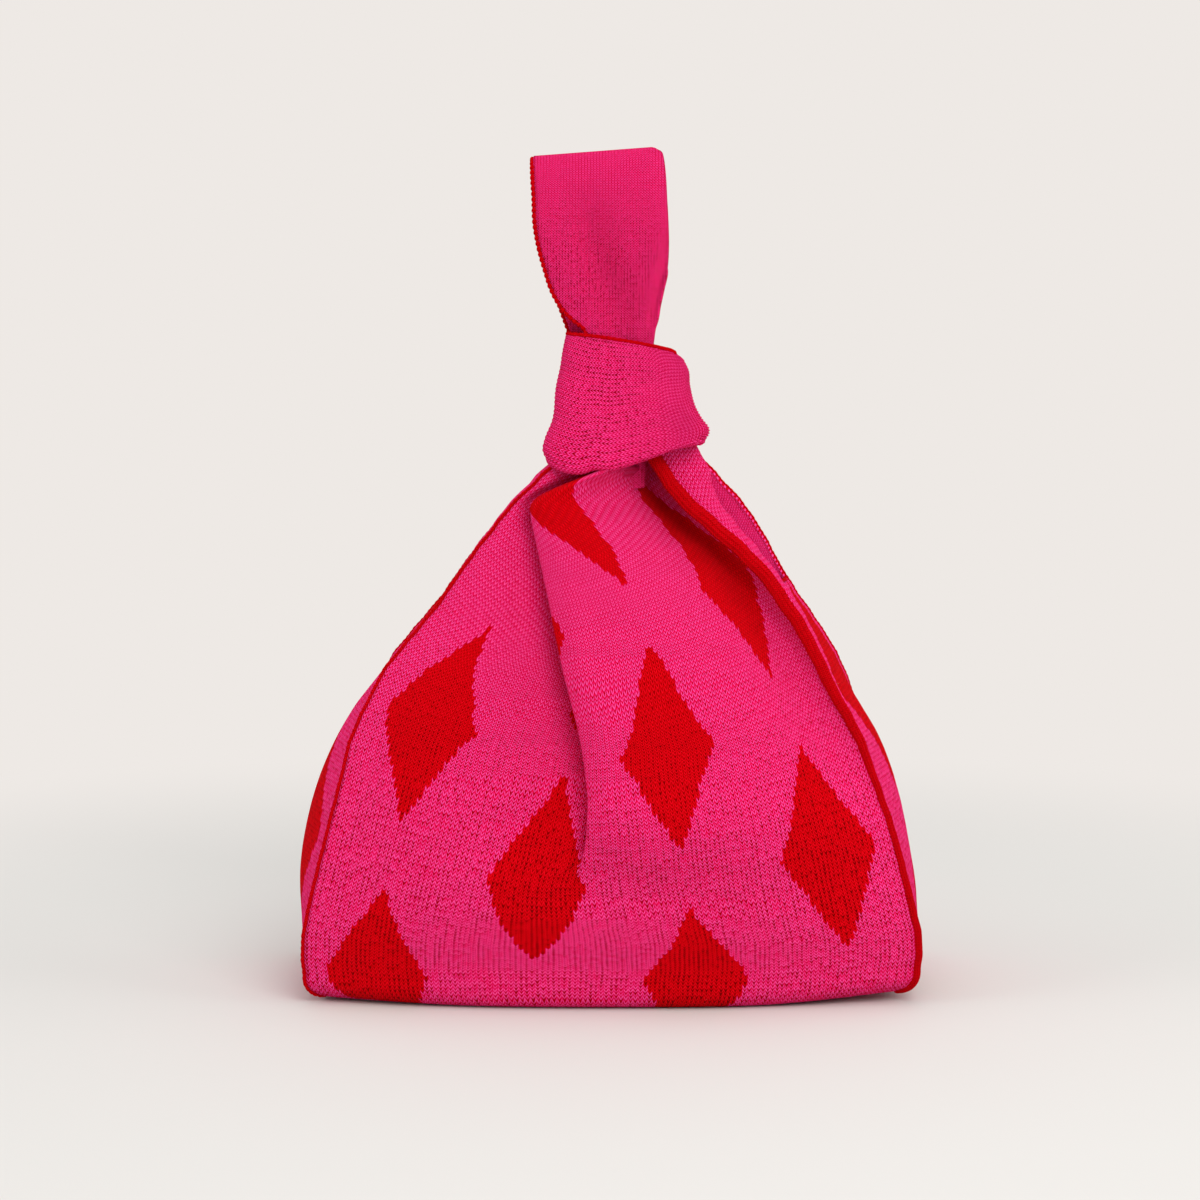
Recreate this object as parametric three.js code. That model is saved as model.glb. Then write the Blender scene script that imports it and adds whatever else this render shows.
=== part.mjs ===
// A knitted Japanese knot bag, closed: its long handle is drawn through its short one.
// Millimetres, +Z up. The origin is under the middle of the base, and the front faces -Y.
import * as THREE from "three";

// Sizes of the bag's body.
const bagWidth = 290;
const bagDepth = 150;
const bodyHeight = 265;
const knitThickness = 2.4;
const footRadius = 9;
const seamRadius = 1.8;
const mouthHeight = 192;
const mouthScoop = 7;
const leftGussetBulge = 12.5;
const rightGussetBulge = 8;
const pleatDepth = 12;
const pleatRoll = 9;

// Sizes of the short handle, which wraps the neck as the knot.
const knotThickness = 2.8;
const knotTopWidth = 59;
const knotTopDepth = 22;
const knotFootWidth = 77.8;
const knotFootDepth = 52;
const knotTopShift = 8.4;
const knotFootShift = 7.2;
const knotFootHeight = 245.5;
const knotFootRise = 13;
const knotLeftRise = 4.8;
const knotTopHeight = 302.7;
const knotTopTilt = 7;

// Sizes of the long handle: its gathered neck, and the carrying loop above the knot.
const neckWidth = 38;
const neckDepth = 14.4;
const neckShift = 3;
const neckFootHeight = 234;
const loopPivotHeight = 319.5;
const loopHeelRadius = 6;
const loopTopHeight = 399;
const loopTopTilt = 4;
const loopWidth = 64;
const loopDepth = 28;
const loopShift = -5;
const loopThickness = 2.4;

// Sizes of the linked edges, and the gap that touching pieces keep.
const edgingRadius = 1;
const seat = 0.3;

// Tables that give a shape along a height, as [share of the height, share of the size].
const leftCreaseShares = [
  [0, 0.985], [0.06, 0.999], [0.113, 0.998], [0.187, 0.972], [0.282, 0.931], [0.4, 0.876],
  [0.469, 0.846], [0.529, 0.792], [0.586, 0.739], [0.651, 0.637], [0.703, 0.56], [0.756, 0.495],
  [0.809, 0.421], [0.861, 0.346], [0.91, 0.262], [0.938, 0.17], [1, 0.15],
];
const frontRightCreaseShares = [
  [0, 0.985], [0.07, 1], [0.108, 0.998], [0.157, 0.979], [0.234, 0.947], [0.299, 0.916],
  [0.404, 0.851], [0.474, 0.805], [0.53, 0.742], [0.613, 0.67], [0.67, 0.613], [0.71, 0.561],
  [0.758, 0.5], [0.782, 0.452], [0.826, 0.361], [0.863, 0.277], [0.913, 0.199], [0.946, 0.159], [1, 0.13],
];
const backRightCreaseShares = [
  [0, 0.985], [0.07, 1], [0.108, 0.998], [0.2, 0.965], [0.3, 0.92], [0.4, 0.88], [0.5, 0.835],
  [0.57, 0.785], [0.627, 0.725], [0.685, 0.65], [0.742, 0.582], [0.798, 0.526], [0.854, 0.464],
  [0.909, 0.375], [0.95, 0.3], [1, 0.25],
];
const panelDepthShares = [
  [0, 0.87], [0.1, 0.97], [0.2, 1], [0.3, 0.96], [0.42, 0.86], [0.55, 0.72],
  [0.68, 0.56], [0.8, 0.41], [0.9, 0.26], [0.95, 0.22], [1, 0.19],
];
const creaseDepthShares = [[0, 0.86], [0.2, 0.76], [0.5, 0.68], [0.75, 0.62], [0.9, 0.66], [1, 0.76]];
const gussetBulgeShares = [
  [0, 0], [0.1, 0.1], [0.18, 0.55], [0.27, 0.95], [0.36, 1], [0.44, 0.6], [0.52, 0.2], [0.62, 0], [1, 0],
];
const pleatEdgeShares = [
  [0, 0], [0.24, -0.066], [0.53, -0.163], [0.7, -0.225], [0.83, -0.26], [0.89, -0.17], [0.93, -0.04], [1, 0],
];
const pleatDepthShares = [
  [0, 0], [0.22, 0], [0.34, 0.35], [0.45, 0.75], [0.62, 1], [0.8, 1], [0.86, 0.7], [0.91, 0.05], [1, 0],
];
const loopHalfWidthShares = [
  [0, 0.68], [0.1, 0.81], [0.25, 0.925], [0.46, 0.985], [0.7, 1], [1, 1],
];
const loopShiftShares = [[0, -0.2], [0.1, 0.28], [0.25, 0.48], [0.46, 0.6], [0.7, 0.9], [1, 1.32]];
const loopDepthShares = [[0, 0], [0.06, 0.1], [0.15, 0.34], [0.45, 1], [0.75, 0.83], [0.9, 0.34], [1, 0]];
const bulgePower = 2.3;
const knotSquareness = 3.2;
const footRowShare = 0.12;

const pinkKnit = new THREE.MeshStandardMaterial({ color: "#e62e74", roughness: 0.92, metalness: 0 });
const upright = new THREE.Vector3(0, 0, 1);
const redKnit = new THREE.MeshStandardMaterial({ color: "#de0716", roughness: 0.92, metalness: 0 });

/** The smooth value of a table of shares at one station. */
function follow(table, at) {
  const last = table.length - 1;
  const t = Math.min(Math.max(at, table[0][0]), table[last][0]);
  let k = 0;
  while (k < last - 1 && t > table[k + 1][0]) k += 1;
  const slope = (i) => {
    const before = table[Math.max(i - 1, 0)];
    const after = table[Math.min(i + 1, last)];
    return (after[1] - before[1]) / (after[0] - before[0]);
  };
  const [from, to] = [table[k], table[k + 1]];
  const span = to[0] - from[0];
  const s = (t - from[0]) / span;
  const [s2, s3] = [s * s, s * s * s];
  return (
    from[1] * (2 * s3 - 3 * s2 + 1) +
    to[1] * (3 * s2 - 2 * s3) +
    slope(k) * span * (s3 - 2 * s2 + s) +
    slope(k + 1) * span * (s3 - s2)
  );
}

/** A closed surface, or an open grid, of the points that a function of two shares gives. */
function gridOf(point, across, along, wrapAcross, wrapAlong) {
  const columns = wrapAcross ? across : across + 1;
  const rows = wrapAlong ? along : along + 1;
  const points = [];
  for (let j = 0; j < rows; j += 1) {
    for (let i = 0; i < columns; i += 1) points.push(point(i / across, j / along));
  }
  const index = (i, j) => (j % rows) * columns + (i % columns);
  return { points, index };
}

/** The triangles of one quad, whose corners run round it as seen from outside. */
function quad(faces, a, b, c, d) {
  faces.push(a, b, c, a, c, d);
}

function geometryOf(points, faces) {
  const geometry = new THREE.BufferGeometry();
  geometry.setAttribute("position", new THREE.Float32BufferAttribute(points.flatMap((p) => p.toArray()), 3));
  geometry.setIndex(faces);
  geometry.computeVertexNormals();
  return geometry;
}

/** The outward direction of a surface: across its width, then along its length. */
function outward(point, u, v) {
  const step = 1e-3;
  const acrossIt = point(u + step, v).sub(point(u - step, v));
  const alongIt = point(u, v + step).sub(point(u, v - step));
  return acrossIt.cross(alongIt).normalize();
}

/** Cloth of one thickness, whose outer face follows point(u, v). */
function cloth(point, thickness, across, along, wrapAcross = false, wrapAlong = false) {
  const inside = (u, v) => point(u, v).addScaledVector(outward(point, u, v), -thickness);
  const outer = gridOf(point, across, along, wrapAcross, wrapAlong);
  const inner = gridOf(inside, across, along, wrapAcross, wrapAlong);
  const shift = outer.points.length;
  const out = outer.index;
  const back = (i, j) => shift + inner.index(i, j);
  const faces = [];
  for (let j = 0; j < along; j += 1) {
    for (let i = 0; i < across; i += 1) {
      quad(faces, out(i, j), out(i + 1, j), out(i + 1, j + 1), out(i, j + 1));
      quad(faces, back(i, j), back(i, j + 1), back(i + 1, j + 1), back(i + 1, j));
    }
  }
  for (let i = 0; i < across && !wrapAlong; i += 1) {
    quad(faces, back(i, 0), back(i + 1, 0), out(i + 1, 0), out(i, 0));
    quad(faces, out(i, along), out(i + 1, along), back(i + 1, along), back(i, along));
  }
  for (let j = 0; j < along && !wrapAcross; j += 1) {
    quad(faces, out(0, j), out(0, j + 1), back(0, j + 1), back(0, j));
    quad(faces, back(across, j), back(across, j + 1), out(across, j + 1), out(across, j));
  }
  return geometryOf([...outer.points, ...inner.points], faces);
}

/** Yarn along path(t), a ring or a run with closed ends; `square` is never along the path. */
function yarn(path, radius, steps, square, ring) {
  const step = 1e-3;
  const sides = 6;
  const point = (u, v) => {
    const tangent = path(v + step).sub(path(v - step)).normalize();
    const first = square.clone().addScaledVector(tangent, -square.dot(tangent)).normalize();
    const second = tangent.clone().cross(first);
    const turn = 2 * Math.PI * u;
    return path(v)
      .addScaledVector(first, radius * Math.cos(turn))
      .addScaledVector(second, radius * Math.sin(turn));
  };
  const { points, index } = gridOf(point, sides, steps, true, ring);
  const faces = [];
  for (let j = 0; j < steps; j += 1) {
    for (let i = 0; i < sides; i += 1) {
      quad(faces, index(i, j), index(i + 1, j), index(i + 1, j + 1), index(i, j + 1));
    }
  }
  for (let i = 1; i < sides - 1 && !ring; i += 1) {
    faces.push(index(0, 0), index(i + 1, 0), index(i, 0));
    faces.push(index(0, steps), index(i, steps), index(i + 1, steps));
  }
  return geometryOf(points, faces);
}

/** A point that stands off the edge of a surface, square to the edge and in the surface. */
function besideEdge(point, u, v, edgeRunsAcross, distance) {
  const step = 1e-3;
  const acrossIt = point(u + step, v).sub(point(u - step, v)).normalize();
  const alongIt = point(u, v + step).sub(point(u, v - step)).normalize();
  const [edge, away] = edgeRunsAcross ? [acrossIt, alongIt] : [alongIt, acrossIt];
  const square = away.addScaledVector(edge, -away.dot(edge)).normalize();
  return point(u, v).addScaledVector(square, distance);
}

/** Height and inset of the wall at a share of its way up: a rounded foot, then the wall. */
function wallAt(share, top) {
  if (share < footRowShare) {
    const turn = (share / footRowShare) * (Math.PI / 2);
    return {
      z: footRadius * (1 - Math.cos(turn)),
      inset: footRadius * (1 - Math.sin(turn)),
      turn,
    };
  }
  const up = Math.min((share - footRowShare) / (1 - footRowShare), 1);
  return { z: footRadius + (top - footRadius) * up, inset: 0, turn: Math.PI / 2 };
}

const leftCrease = (z) => (bagWidth / 2) * follow(leftCreaseShares, z / bodyHeight);
const frontRightCrease = (z) => (bagWidth / 2) * follow(frontRightCreaseShares, z / bodyHeight);
const backRightCrease = (z) => (bagWidth / 2) * follow(backRightCreaseShares, z / bodyHeight);
const panelDepth = (z) => (bagDepth / 2) * follow(panelDepthShares, z / bodyHeight);
const creaseDepth = (z) => panelDepth(z) * follow(creaseDepthShares, z / bodyHeight);

const seamRoom = 2 * seamRadius + seat;

/** Where the front's pleat has its edge, clear of the panel's left border. */
function pleatEdge(z, border) {
  return Math.max((bagWidth / 2) * follow(pleatEdgeShares, z / bodyHeight), pleatRoll - border);
}

/** How far the front's pleat stands proud at one place. */
function pleatProud(x, z, edge) {
  const rise = THREE.MathUtils.smoothstep(x, edge - pleatRoll / 2, edge + pleatRoll / 2);
  const fall = 1 - THREE.MathUtils.smoothstep(x, edge + pleatRoll, frontRightCrease(z));
  return pleatDepth * follow(pleatDepthShares, z / bodyHeight) * rise * fall;
}

/** The front's x for a share of its width, with more columns along the pleat's edge. */
function frontColumn(u, left, right, edge) {
  const beforeShare = 9 / 26;
  const afterShare = 13 / 26;
  const roll = [edge - pleatRoll / 2, edge + pleatRoll / 2];
  if (u < beforeShare) return THREE.MathUtils.lerp(-left, roll[0], u / beforeShare);
  if (u < afterShare) {
    return THREE.MathUtils.lerp(roll[0], roll[1], (u - beforeShare) / (afterShare - beforeShare));
  }
  return THREE.MathUtils.lerp(roll[1], right, (u - afterShare) / (1 - afterShare));
}

/** The front panel's face. */
function frontPanelFace(u, v) {
  const { z, inset } = wallAt(v, bodyHeight);
  const left = leftCrease(z) - inset - seamRoom;
  const right = frontRightCrease(z) - inset - seamRoom;
  const edge = pleatEdge(z, left);
  const x = frontColumn(u, left, right, edge);
  const share = Math.abs(x) / ((x < 0 ? left : right) + seamRoom);
  const bulge = (panelDepth(z) - creaseDepth(z)) * (1 - share ** bulgePower);
  return new THREE.Vector3(x, inset - creaseDepth(z) - bulge - pleatProud(x, z, edge), z);
}

/** The back panel's face. */
function backPanelFace(u, v) {
  const { z, inset } = wallAt(v, bodyHeight);
  const left = leftCrease(z) - inset - seamRoom;
  const right = backRightCrease(z) - inset - seamRoom;
  const x = THREE.MathUtils.lerp(right, -left, u);
  const share = Math.abs(x) / ((x < 0 ? left : right) + seamRoom);
  const bulge = (panelDepth(z) - creaseDepth(z)) * (1 - share ** bulgePower);
  return new THREE.Vector3(x, creaseDepth(z) - inset + bulge, z);
}

/** A side gusset's face. side is -1 at the left and 1 at the right. */
function gussetFace(side, front, back, fullness) {
  return (u, v) => {
    const across = 2 * u - 1;
    const top = mouthHeight - mouthScoop * (1 - across * across);
    const { z, inset } = wallAt(v, top);
    const half = creaseDepth(z) - inset;
    const y = across * side * (half - seamRoom);
    const share = (y / half + 1) / 2;
    const crease = front(z) + (back(z) - front(z)) * share - inset;
    const bulge = fullness * follow(gussetBulgeShares, z / bodyHeight) * (1 - (y / half) ** 2);
    return new THREE.Vector3(side * (crease + bulge), y, z);
  };
}

/** The corner seam from the foot to the knot. */
function cornerSeam(sideX, sideY, crease) {
  const path = (t) => {
    const { z, inset, turn } = wallAt(t, bodyHeight);
    const inward = inset + seamRadius * Math.sin(turn);
    const x = sideX * (crease(z) - inward);
    const y = sideY * (creaseDepth(z) - inward);
    return new THREE.Vector3(x, y, z + seamRadius * Math.cos(turn));
  };
  return yarn(path, seamRadius, 26, new THREE.Vector3(sideX, -sideY, 0), false);
}

/** The outline of the base, drawn in from the wall's foot by `inward`. */
function baseOutline(inward) {
  const points = [];
  const depth = creaseDepth(0) - inward;
  const half = leftCrease(0) - inward;
  const bulge = panelDepth(0) - creaseDepth(0);
  const steps = 16;
  for (const side of [-1, 1]) {
    for (let k = 0; k <= steps; k += 1) {
      const s = ((2 * k) / steps - 1) * -side;
      points.push(new THREE.Vector2(s * half, side * (depth + bulge * (1 - Math.abs(s) ** bulgePower))));
    }
  }
  return points;
}

function basePanel() {
  const outline = new THREE.Shape(baseOutline(footRadius + seat));
  return new THREE.ExtrudeGeometry(outline, { depth: knitThickness, bevelEnabled: false });
}

/** The seam that joins the base to the walls, on the inside of the bag. */
function baseSeam() {
  const clearOfCorner = footRadius + 2 * seamRadius + seat + edgingRadius;
  const outline = baseOutline(clearOfCorner).map(
    (p) => new THREE.Vector3(p.x, p.y, knitThickness + seat + edgingRadius),
  );
  const curve = new THREE.CatmullRomCurve3(outline, true, "catmullrom", 0.3);
  return yarn((t) => curve.getPoint(t - Math.floor(t)), edgingRadius, 40, upright, true);
}

/** The linked edge of the bag's mouth, on top of a gusset. */
function mouthEdging(face) {
  const clearOfSeams = 0.07;
  const path = (t) => {
    const u = THREE.MathUtils.lerp(clearOfSeams, 1 - clearOfSeams, t);
    const inward = outward(face, u, 1).multiplyScalar(-knitThickness / 2);
    return besideEdge(face, u, 1, true, edgingRadius + seat).add(inward);
  };
  return yarn(path, edgingRadius, 12, upright, false);
}

/** A place on a level ring with squared ends: its share across the width, and of the depth. */
function ringPlace(u) {
  const turn = 2 * Math.PI * u - Math.PI / 2;
  const power = 2 / knotSquareness;
  const bent = (w) => Math.sign(w) * Math.abs(w) ** power;
  return { across: bent(Math.cos(turn)), deep: bent(Math.sin(turn)) };
}

/** The short handle's outer face, round the neck. */
function knotFace(u, v) {
  const { across, deep } = ringPlace(u);
  const half = THREE.MathUtils.lerp(knotFootWidth, knotTopWidth, v) / 2;
  const depth = THREE.MathUtils.lerp(knotFootDepth, knotTopDepth, v) / 2;
  const shift = THREE.MathUtils.lerp(knotFootShift, knotTopShift, v);
  const foot = knotFootHeight + (across > 0 ? knotFootRise : knotLeftRise) * across ** 2;
  const top = knotTopHeight - knotTopTilt * across;
  return new THREE.Vector3(shift + across * half, deep * depth, THREE.MathUtils.lerp(foot, top, v));
}

/** The path of the linked edge on the short handle's upper rim. */
function knotTopEdge(t) {
  const inward = outward(knotFace, t, 1).multiplyScalar(-knotThickness / 2);
  return besideEdge(knotFace, t, 1, true, edgingRadius + seat).add(inward);
}

/** The neck: the long handle's two straps gathered through the knot. */
function neck() {
  const end = neckDepth / 2;
  const straight = neckWidth / 2 - end;
  const section = new THREE.Shape();
  section.absarc(straight, 0, end, -Math.PI / 2, Math.PI / 2, false);
  section.absarc(-straight, 0, end, Math.PI / 2, (3 * Math.PI) / 2, false);
  const top = loopPivotHeight - loopHeelRadius - seat;
  const geometry = new THREE.ExtrudeGeometry(section, {
    depth: top - neckFootHeight,
    bevelEnabled: false,
    curveSegments: 6,
  });
  return geometry.translate(neckShift, 0, neckFootHeight);
}

/** The carrying loop's outer face: up its front, over the fold and down its back. */
function loopFace(u, v) {
  const turn = 2 * Math.PI * v;
  const rise = (1 - Math.cos(turn)) / 2;
  const reach = loopTopHeight - loopPivotHeight - loopTopTilt / 2;
  const across = 2 * u - 1;
  const heel = Math.cos(turn) > 0 ? loopHeelRadius * Math.cos(turn) : 0;
  const up = Math.max(-Math.cos(turn), 0);
  const share = Math.cos(turn) > 0 ? 0 : up ** 1.12;
  const half = (loopWidth / 2) * follow(loopHalfWidthShares, share) - 2 * edgingRadius - seat;
  const depth = loopHeelRadius + (loopDepth / 2 - loopHeelRadius) * follow(loopDepthShares, share);
  const x = loopShift * follow(loopShiftShares, share) + across * half;
  const z = loopPivotHeight - heel + (reach + (loopTopTilt / 2) * across) * share;
  const fullness = Math.cos(turn) > 0 ? loopHeelRadius : depth;
  const y = -Math.sign(Math.sin(turn)) * fullness * Math.sqrt(Math.min(4 * rise * (1 - rise), 1));
  return new THREE.Vector3(x, y, z);
}

function addPiece(bag, name, geometry, material) {
  const piece = new THREE.Mesh(geometry, material);
  piece.name = name;
  bag.add(piece);
}

const leftGussetFace = gussetFace(-1, leftCrease, leftCrease, leftGussetBulge);
const rightGussetFace = gussetFace(1, frontRightCrease, backRightCrease, rightGussetBulge);
const bag = new THREE.Group();

addPiece(bag, "base_panel", basePanel(), pinkKnit);
addPiece(bag, "front_panel", cloth(frontPanelFace, knitThickness, 26, 25), pinkKnit);
addPiece(bag, "back_panel", cloth(backPanelFace, knitThickness, 16, 20), pinkKnit);
addPiece(bag, "left_gusset", cloth(leftGussetFace, knitThickness, 8, 18), pinkKnit);
addPiece(bag, "right_gusset", cloth(rightGussetFace, knitThickness, 8, 18), pinkKnit);
addPiece(bag, "front_left_seam", cornerSeam(-1, -1, leftCrease), redKnit);
addPiece(bag, "front_right_seam", cornerSeam(1, -1, frontRightCrease), redKnit);
addPiece(bag, "back_left_seam", cornerSeam(-1, 1, leftCrease), redKnit);
addPiece(bag, "back_right_seam", cornerSeam(1, 1, backRightCrease), redKnit);
addPiece(bag, "base_seam", baseSeam(), pinkKnit);
addPiece(bag, "left_mouth_edging", mouthEdging(leftGussetFace), redKnit);
addPiece(bag, "right_mouth_edging", mouthEdging(rightGussetFace), redKnit);

addPiece(bag, "short_handle", cloth(knotFace, knotThickness, 32, 8, true), pinkKnit);
addPiece(bag, "short_handle_top_edging", yarn(knotTopEdge, edgingRadius, 36, upright, true), redKnit);

addPiece(bag, "long_handle_neck", neck(), pinkKnit);
addPiece(bag, "carrying_loop", cloth(loopFace, loopThickness, 10, 38, false, true), pinkKnit);
for (const [name, u, side] of [["left", 0, -1], ["right", 1, 1]]) {
  const path = (t) => {
    const inward = outward(loopFace, u, t).multiplyScalar(-loopThickness / 2);
    return besideEdge(loopFace, u, t, false, side * (edgingRadius + 3 * seat)).add(inward);
  };
  const edging = yarn(path, edgingRadius, 46, new THREE.Vector3(1, 0, 0), true);
  addPiece(bag, `carrying_loop_${name}_edging`, edging, redKnit);
}

export default bag;
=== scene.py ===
"""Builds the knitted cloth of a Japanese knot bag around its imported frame, and a plain studio."""

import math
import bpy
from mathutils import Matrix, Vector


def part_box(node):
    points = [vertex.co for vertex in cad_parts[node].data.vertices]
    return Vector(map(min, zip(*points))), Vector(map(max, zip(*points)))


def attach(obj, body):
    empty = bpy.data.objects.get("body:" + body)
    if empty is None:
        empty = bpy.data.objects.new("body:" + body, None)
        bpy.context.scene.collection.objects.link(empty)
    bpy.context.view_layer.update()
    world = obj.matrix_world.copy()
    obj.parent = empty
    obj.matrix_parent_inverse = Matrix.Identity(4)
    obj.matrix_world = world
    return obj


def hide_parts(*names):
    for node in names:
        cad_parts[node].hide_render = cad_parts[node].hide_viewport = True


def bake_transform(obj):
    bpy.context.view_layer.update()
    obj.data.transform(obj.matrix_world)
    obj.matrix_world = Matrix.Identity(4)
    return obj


bl_info = {
    "name": "Knitted Knot Bag",
    "version": (1, 0, 0),
    "blender": (4, 5, 0),
    "location": "View3D > Sidebar > Knot Bag",
    "description": "Cloth, linked seams and studio of a knot bag that is closed by its own handles",
    "category": "Object",
}

import bpy
import numpy as np
from mathutils import Vector

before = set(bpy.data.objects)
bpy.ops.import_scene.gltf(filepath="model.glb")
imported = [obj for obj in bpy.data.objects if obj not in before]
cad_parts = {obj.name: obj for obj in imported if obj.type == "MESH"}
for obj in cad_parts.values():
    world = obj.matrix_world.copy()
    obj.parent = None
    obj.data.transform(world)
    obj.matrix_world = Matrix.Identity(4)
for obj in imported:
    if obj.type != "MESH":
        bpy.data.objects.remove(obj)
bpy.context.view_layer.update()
MM = 0.001


# Measures read from the frame.


def node_points(node):
    """The corner points of a CAD node, in millimetres."""
    return np.array([v.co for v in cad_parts[node].data.vertices]) / MM


class SeamLine:
    """The centre line of a corner seam of the frame, as x and y at a height."""

    def __init__(self, node):
        points = node_points(node)
        heights = np.linspace(points[:, 2].min() + 10, points[:, 2].max() - 4, 60)
        reach = 7.0
        rows = []
        for z in heights:
            weight = np.exp(-(((points[:, 2] - z) / reach) ** 2))
            x = np.polyfit(points[:, 2] - z, points[:, 0], 1, w=weight)[1]
            y = np.polyfit(points[:, 2] - z, points[:, 1], 1, w=weight)[1]
            rows.append((x, y))
        self.heights = heights
        self.x, self.y = np.array(rows).T

    def at(self, z):
        return np.interp(z, self.heights, self.x), np.interp(z, self.heights, self.y)


class PanelDepth:
    """How far a CAD panel stands from the bag's middle plane, at a height."""

    def __init__(self, node):
        points = node_points(node)
        self.heights = np.linspace(points[:, 2].min() + 12, points[:, 2].max(), 40)
        near = [np.abs(points[np.abs(points[:, 2] - z) < 8, 1]).max() for z in self.heights]
        self.depth = np.convolve(np.pad(near, 2, mode="edge"), np.ones(5) / 5, mode="valid")

    def at(self, z):
        return np.interp(z, self.heights, self.depth)


SEAMS = {
    name: SeamLine(name)
    for name in ("front_left_seam", "front_right_seam", "back_left_seam", "back_right_seam")
}
DEPTH = PanelDepth("back_panel")
FRONT_TOP = node_points("front_panel")[:, 2].max()


# What a user may change.


class KnotBagSizes(bpy.types.PropertyGroup):
    cloth: bpy.props.FloatProperty(
        name="Cloth Thickness", description="Thickness of the knitted cloth",
        default=2.2 * MM, min=0.5 * MM, max=4 * MM, unit="LENGTH", precision=4)
    stitch_width: bpy.props.FloatProperty(
        name="Stitch Width", description="Distance between two columns of stitches",
        default=2.25 * MM, min=0.5 * MM, max=5 * MM, unit="LENGTH", precision=5)
    stitch_height: bpy.props.FloatProperty(
        name="Stitch Height", description="Distance between two rows of stitches",
        default=1.9 * MM, min=0.5 * MM, max=5 * MM, unit="LENGTH", precision=5)
    lozenge_width: bpy.props.FloatProperty(
        name="Lozenge Width", description="Width of one red lozenge",
        default=50 * MM, min=10 * MM, max=140 * MM, unit="LENGTH")
    lozenge_height: bpy.props.FloatProperty(
        name="Lozenge Height", description="Height of one red lozenge",
        default=100 * MM, min=10 * MM, max=250 * MM, unit="LENGTH")
    foot_radius: bpy.props.FloatProperty(
        name="Foot Radius", description="Radius of the fold between the walls and the base",
        default=10 * MM, min=2 * MM, max=25 * MM, unit="LENGTH")
    pleat_height: bpy.props.FloatProperty(
        name="Pleat Height", description="How far the front's pleat stands off the cloth beside it",
        default=11 * MM, min=0, max=20 * MM, unit="LENGTH")
    pleat_reach: bpy.props.FloatProperty(
        name="Pleat Reach", description="How far the cloth runs on behind the pleat",
        default=20 * MM, min=0, max=40 * MM, unit="LENGTH")


class KnotBagColours(bpy.types.PropertyGroup):
    pink: bpy.props.FloatVectorProperty(
        name="Pink Yarn", description="Colour of the pink yarn on its crowns",
        default=(0.97, 0.0057, 0.112), size=3, subtype="COLOR", min=0, max=1)
    red: bpy.props.FloatVectorProperty(
        name="Red Yarn", description="Colour of the red yarn on its crowns",
        default=(0.77, 0.0004, 0.0035), size=3, subtype="COLOR", min=0, max=1)
    backdrop: bpy.props.FloatVectorProperty(
        name="Backdrop", description="Colour of the backdrop and the far floor",
        default=(0.855, 0.815, 0.783), size=3, subtype="COLOR", min=0, max=1)
    floor: bpy.props.FloatVectorProperty(
        name="Floor", description="Colour of the floor under and around the bag",
        default=(0.68, 0.67, 0.643), size=3, subtype="COLOR", min=0, max=1)


# Shader node groups.


class Wiring:
    """Adds and joins nodes in one tree."""

    def __init__(self, tree):
        self.tree = tree

    def node(self, kind, inputs=None, **settings):
        made = self.tree.nodes.new(kind)
        for name, value in settings.items():
            setattr(made, name, value)
        for socket, value in (inputs or {}).items():
            self.feed(made.inputs[socket], value)
        return made

    def feed(self, socket, value):
        if isinstance(value, bpy.types.NodeSocket):
            self.tree.links.new(value, socket)
        elif value is not None:
            socket.default_value = value

    def math(self, operation, a, b=None, c=None, clamp=False):
        made = self.node("ShaderNodeMath", {0: a, 1: b, 2: c}, operation=operation, use_clamp=clamp)
        return made.outputs[0]

    def mix(self, factor, a, b):
        made = self.node("ShaderNodeMix", {"Factor": factor, 6: a, 7: b}, data_type="RGBA")
        return made.outputs[2]

    def noise(self, vector, scale, detail):
        made = self.node("ShaderNodeTexNoise", {"Vector": vector, "Scale": scale, "Detail": detail})
        return made.outputs["Fac"]


def new_group(name, inputs, outputs):
    """The wiring of a shader node group, and the sockets that it takes and gives, by title."""
    group = bpy.data.node_groups.new(name, "ShaderNodeTree")
    for title, kind, default in inputs:
        socket = group.interface.new_socket(title, in_out="INPUT", socket_type=kind)
        if default is not None:
            socket.default_value = default
    for title, kind in outputs:
        group.interface.new_socket(title, in_out="OUTPUT", socket_type=kind)
    wiring = Wiring(group)
    return wiring, wiring.node("NodeGroupInput").outputs, wiring.node("NodeGroupOutput").inputs


FLOAT, VECTOR, COLOUR = "NodeSocketFloat", "NodeSocketVector", "NodeSocketColor"


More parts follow.
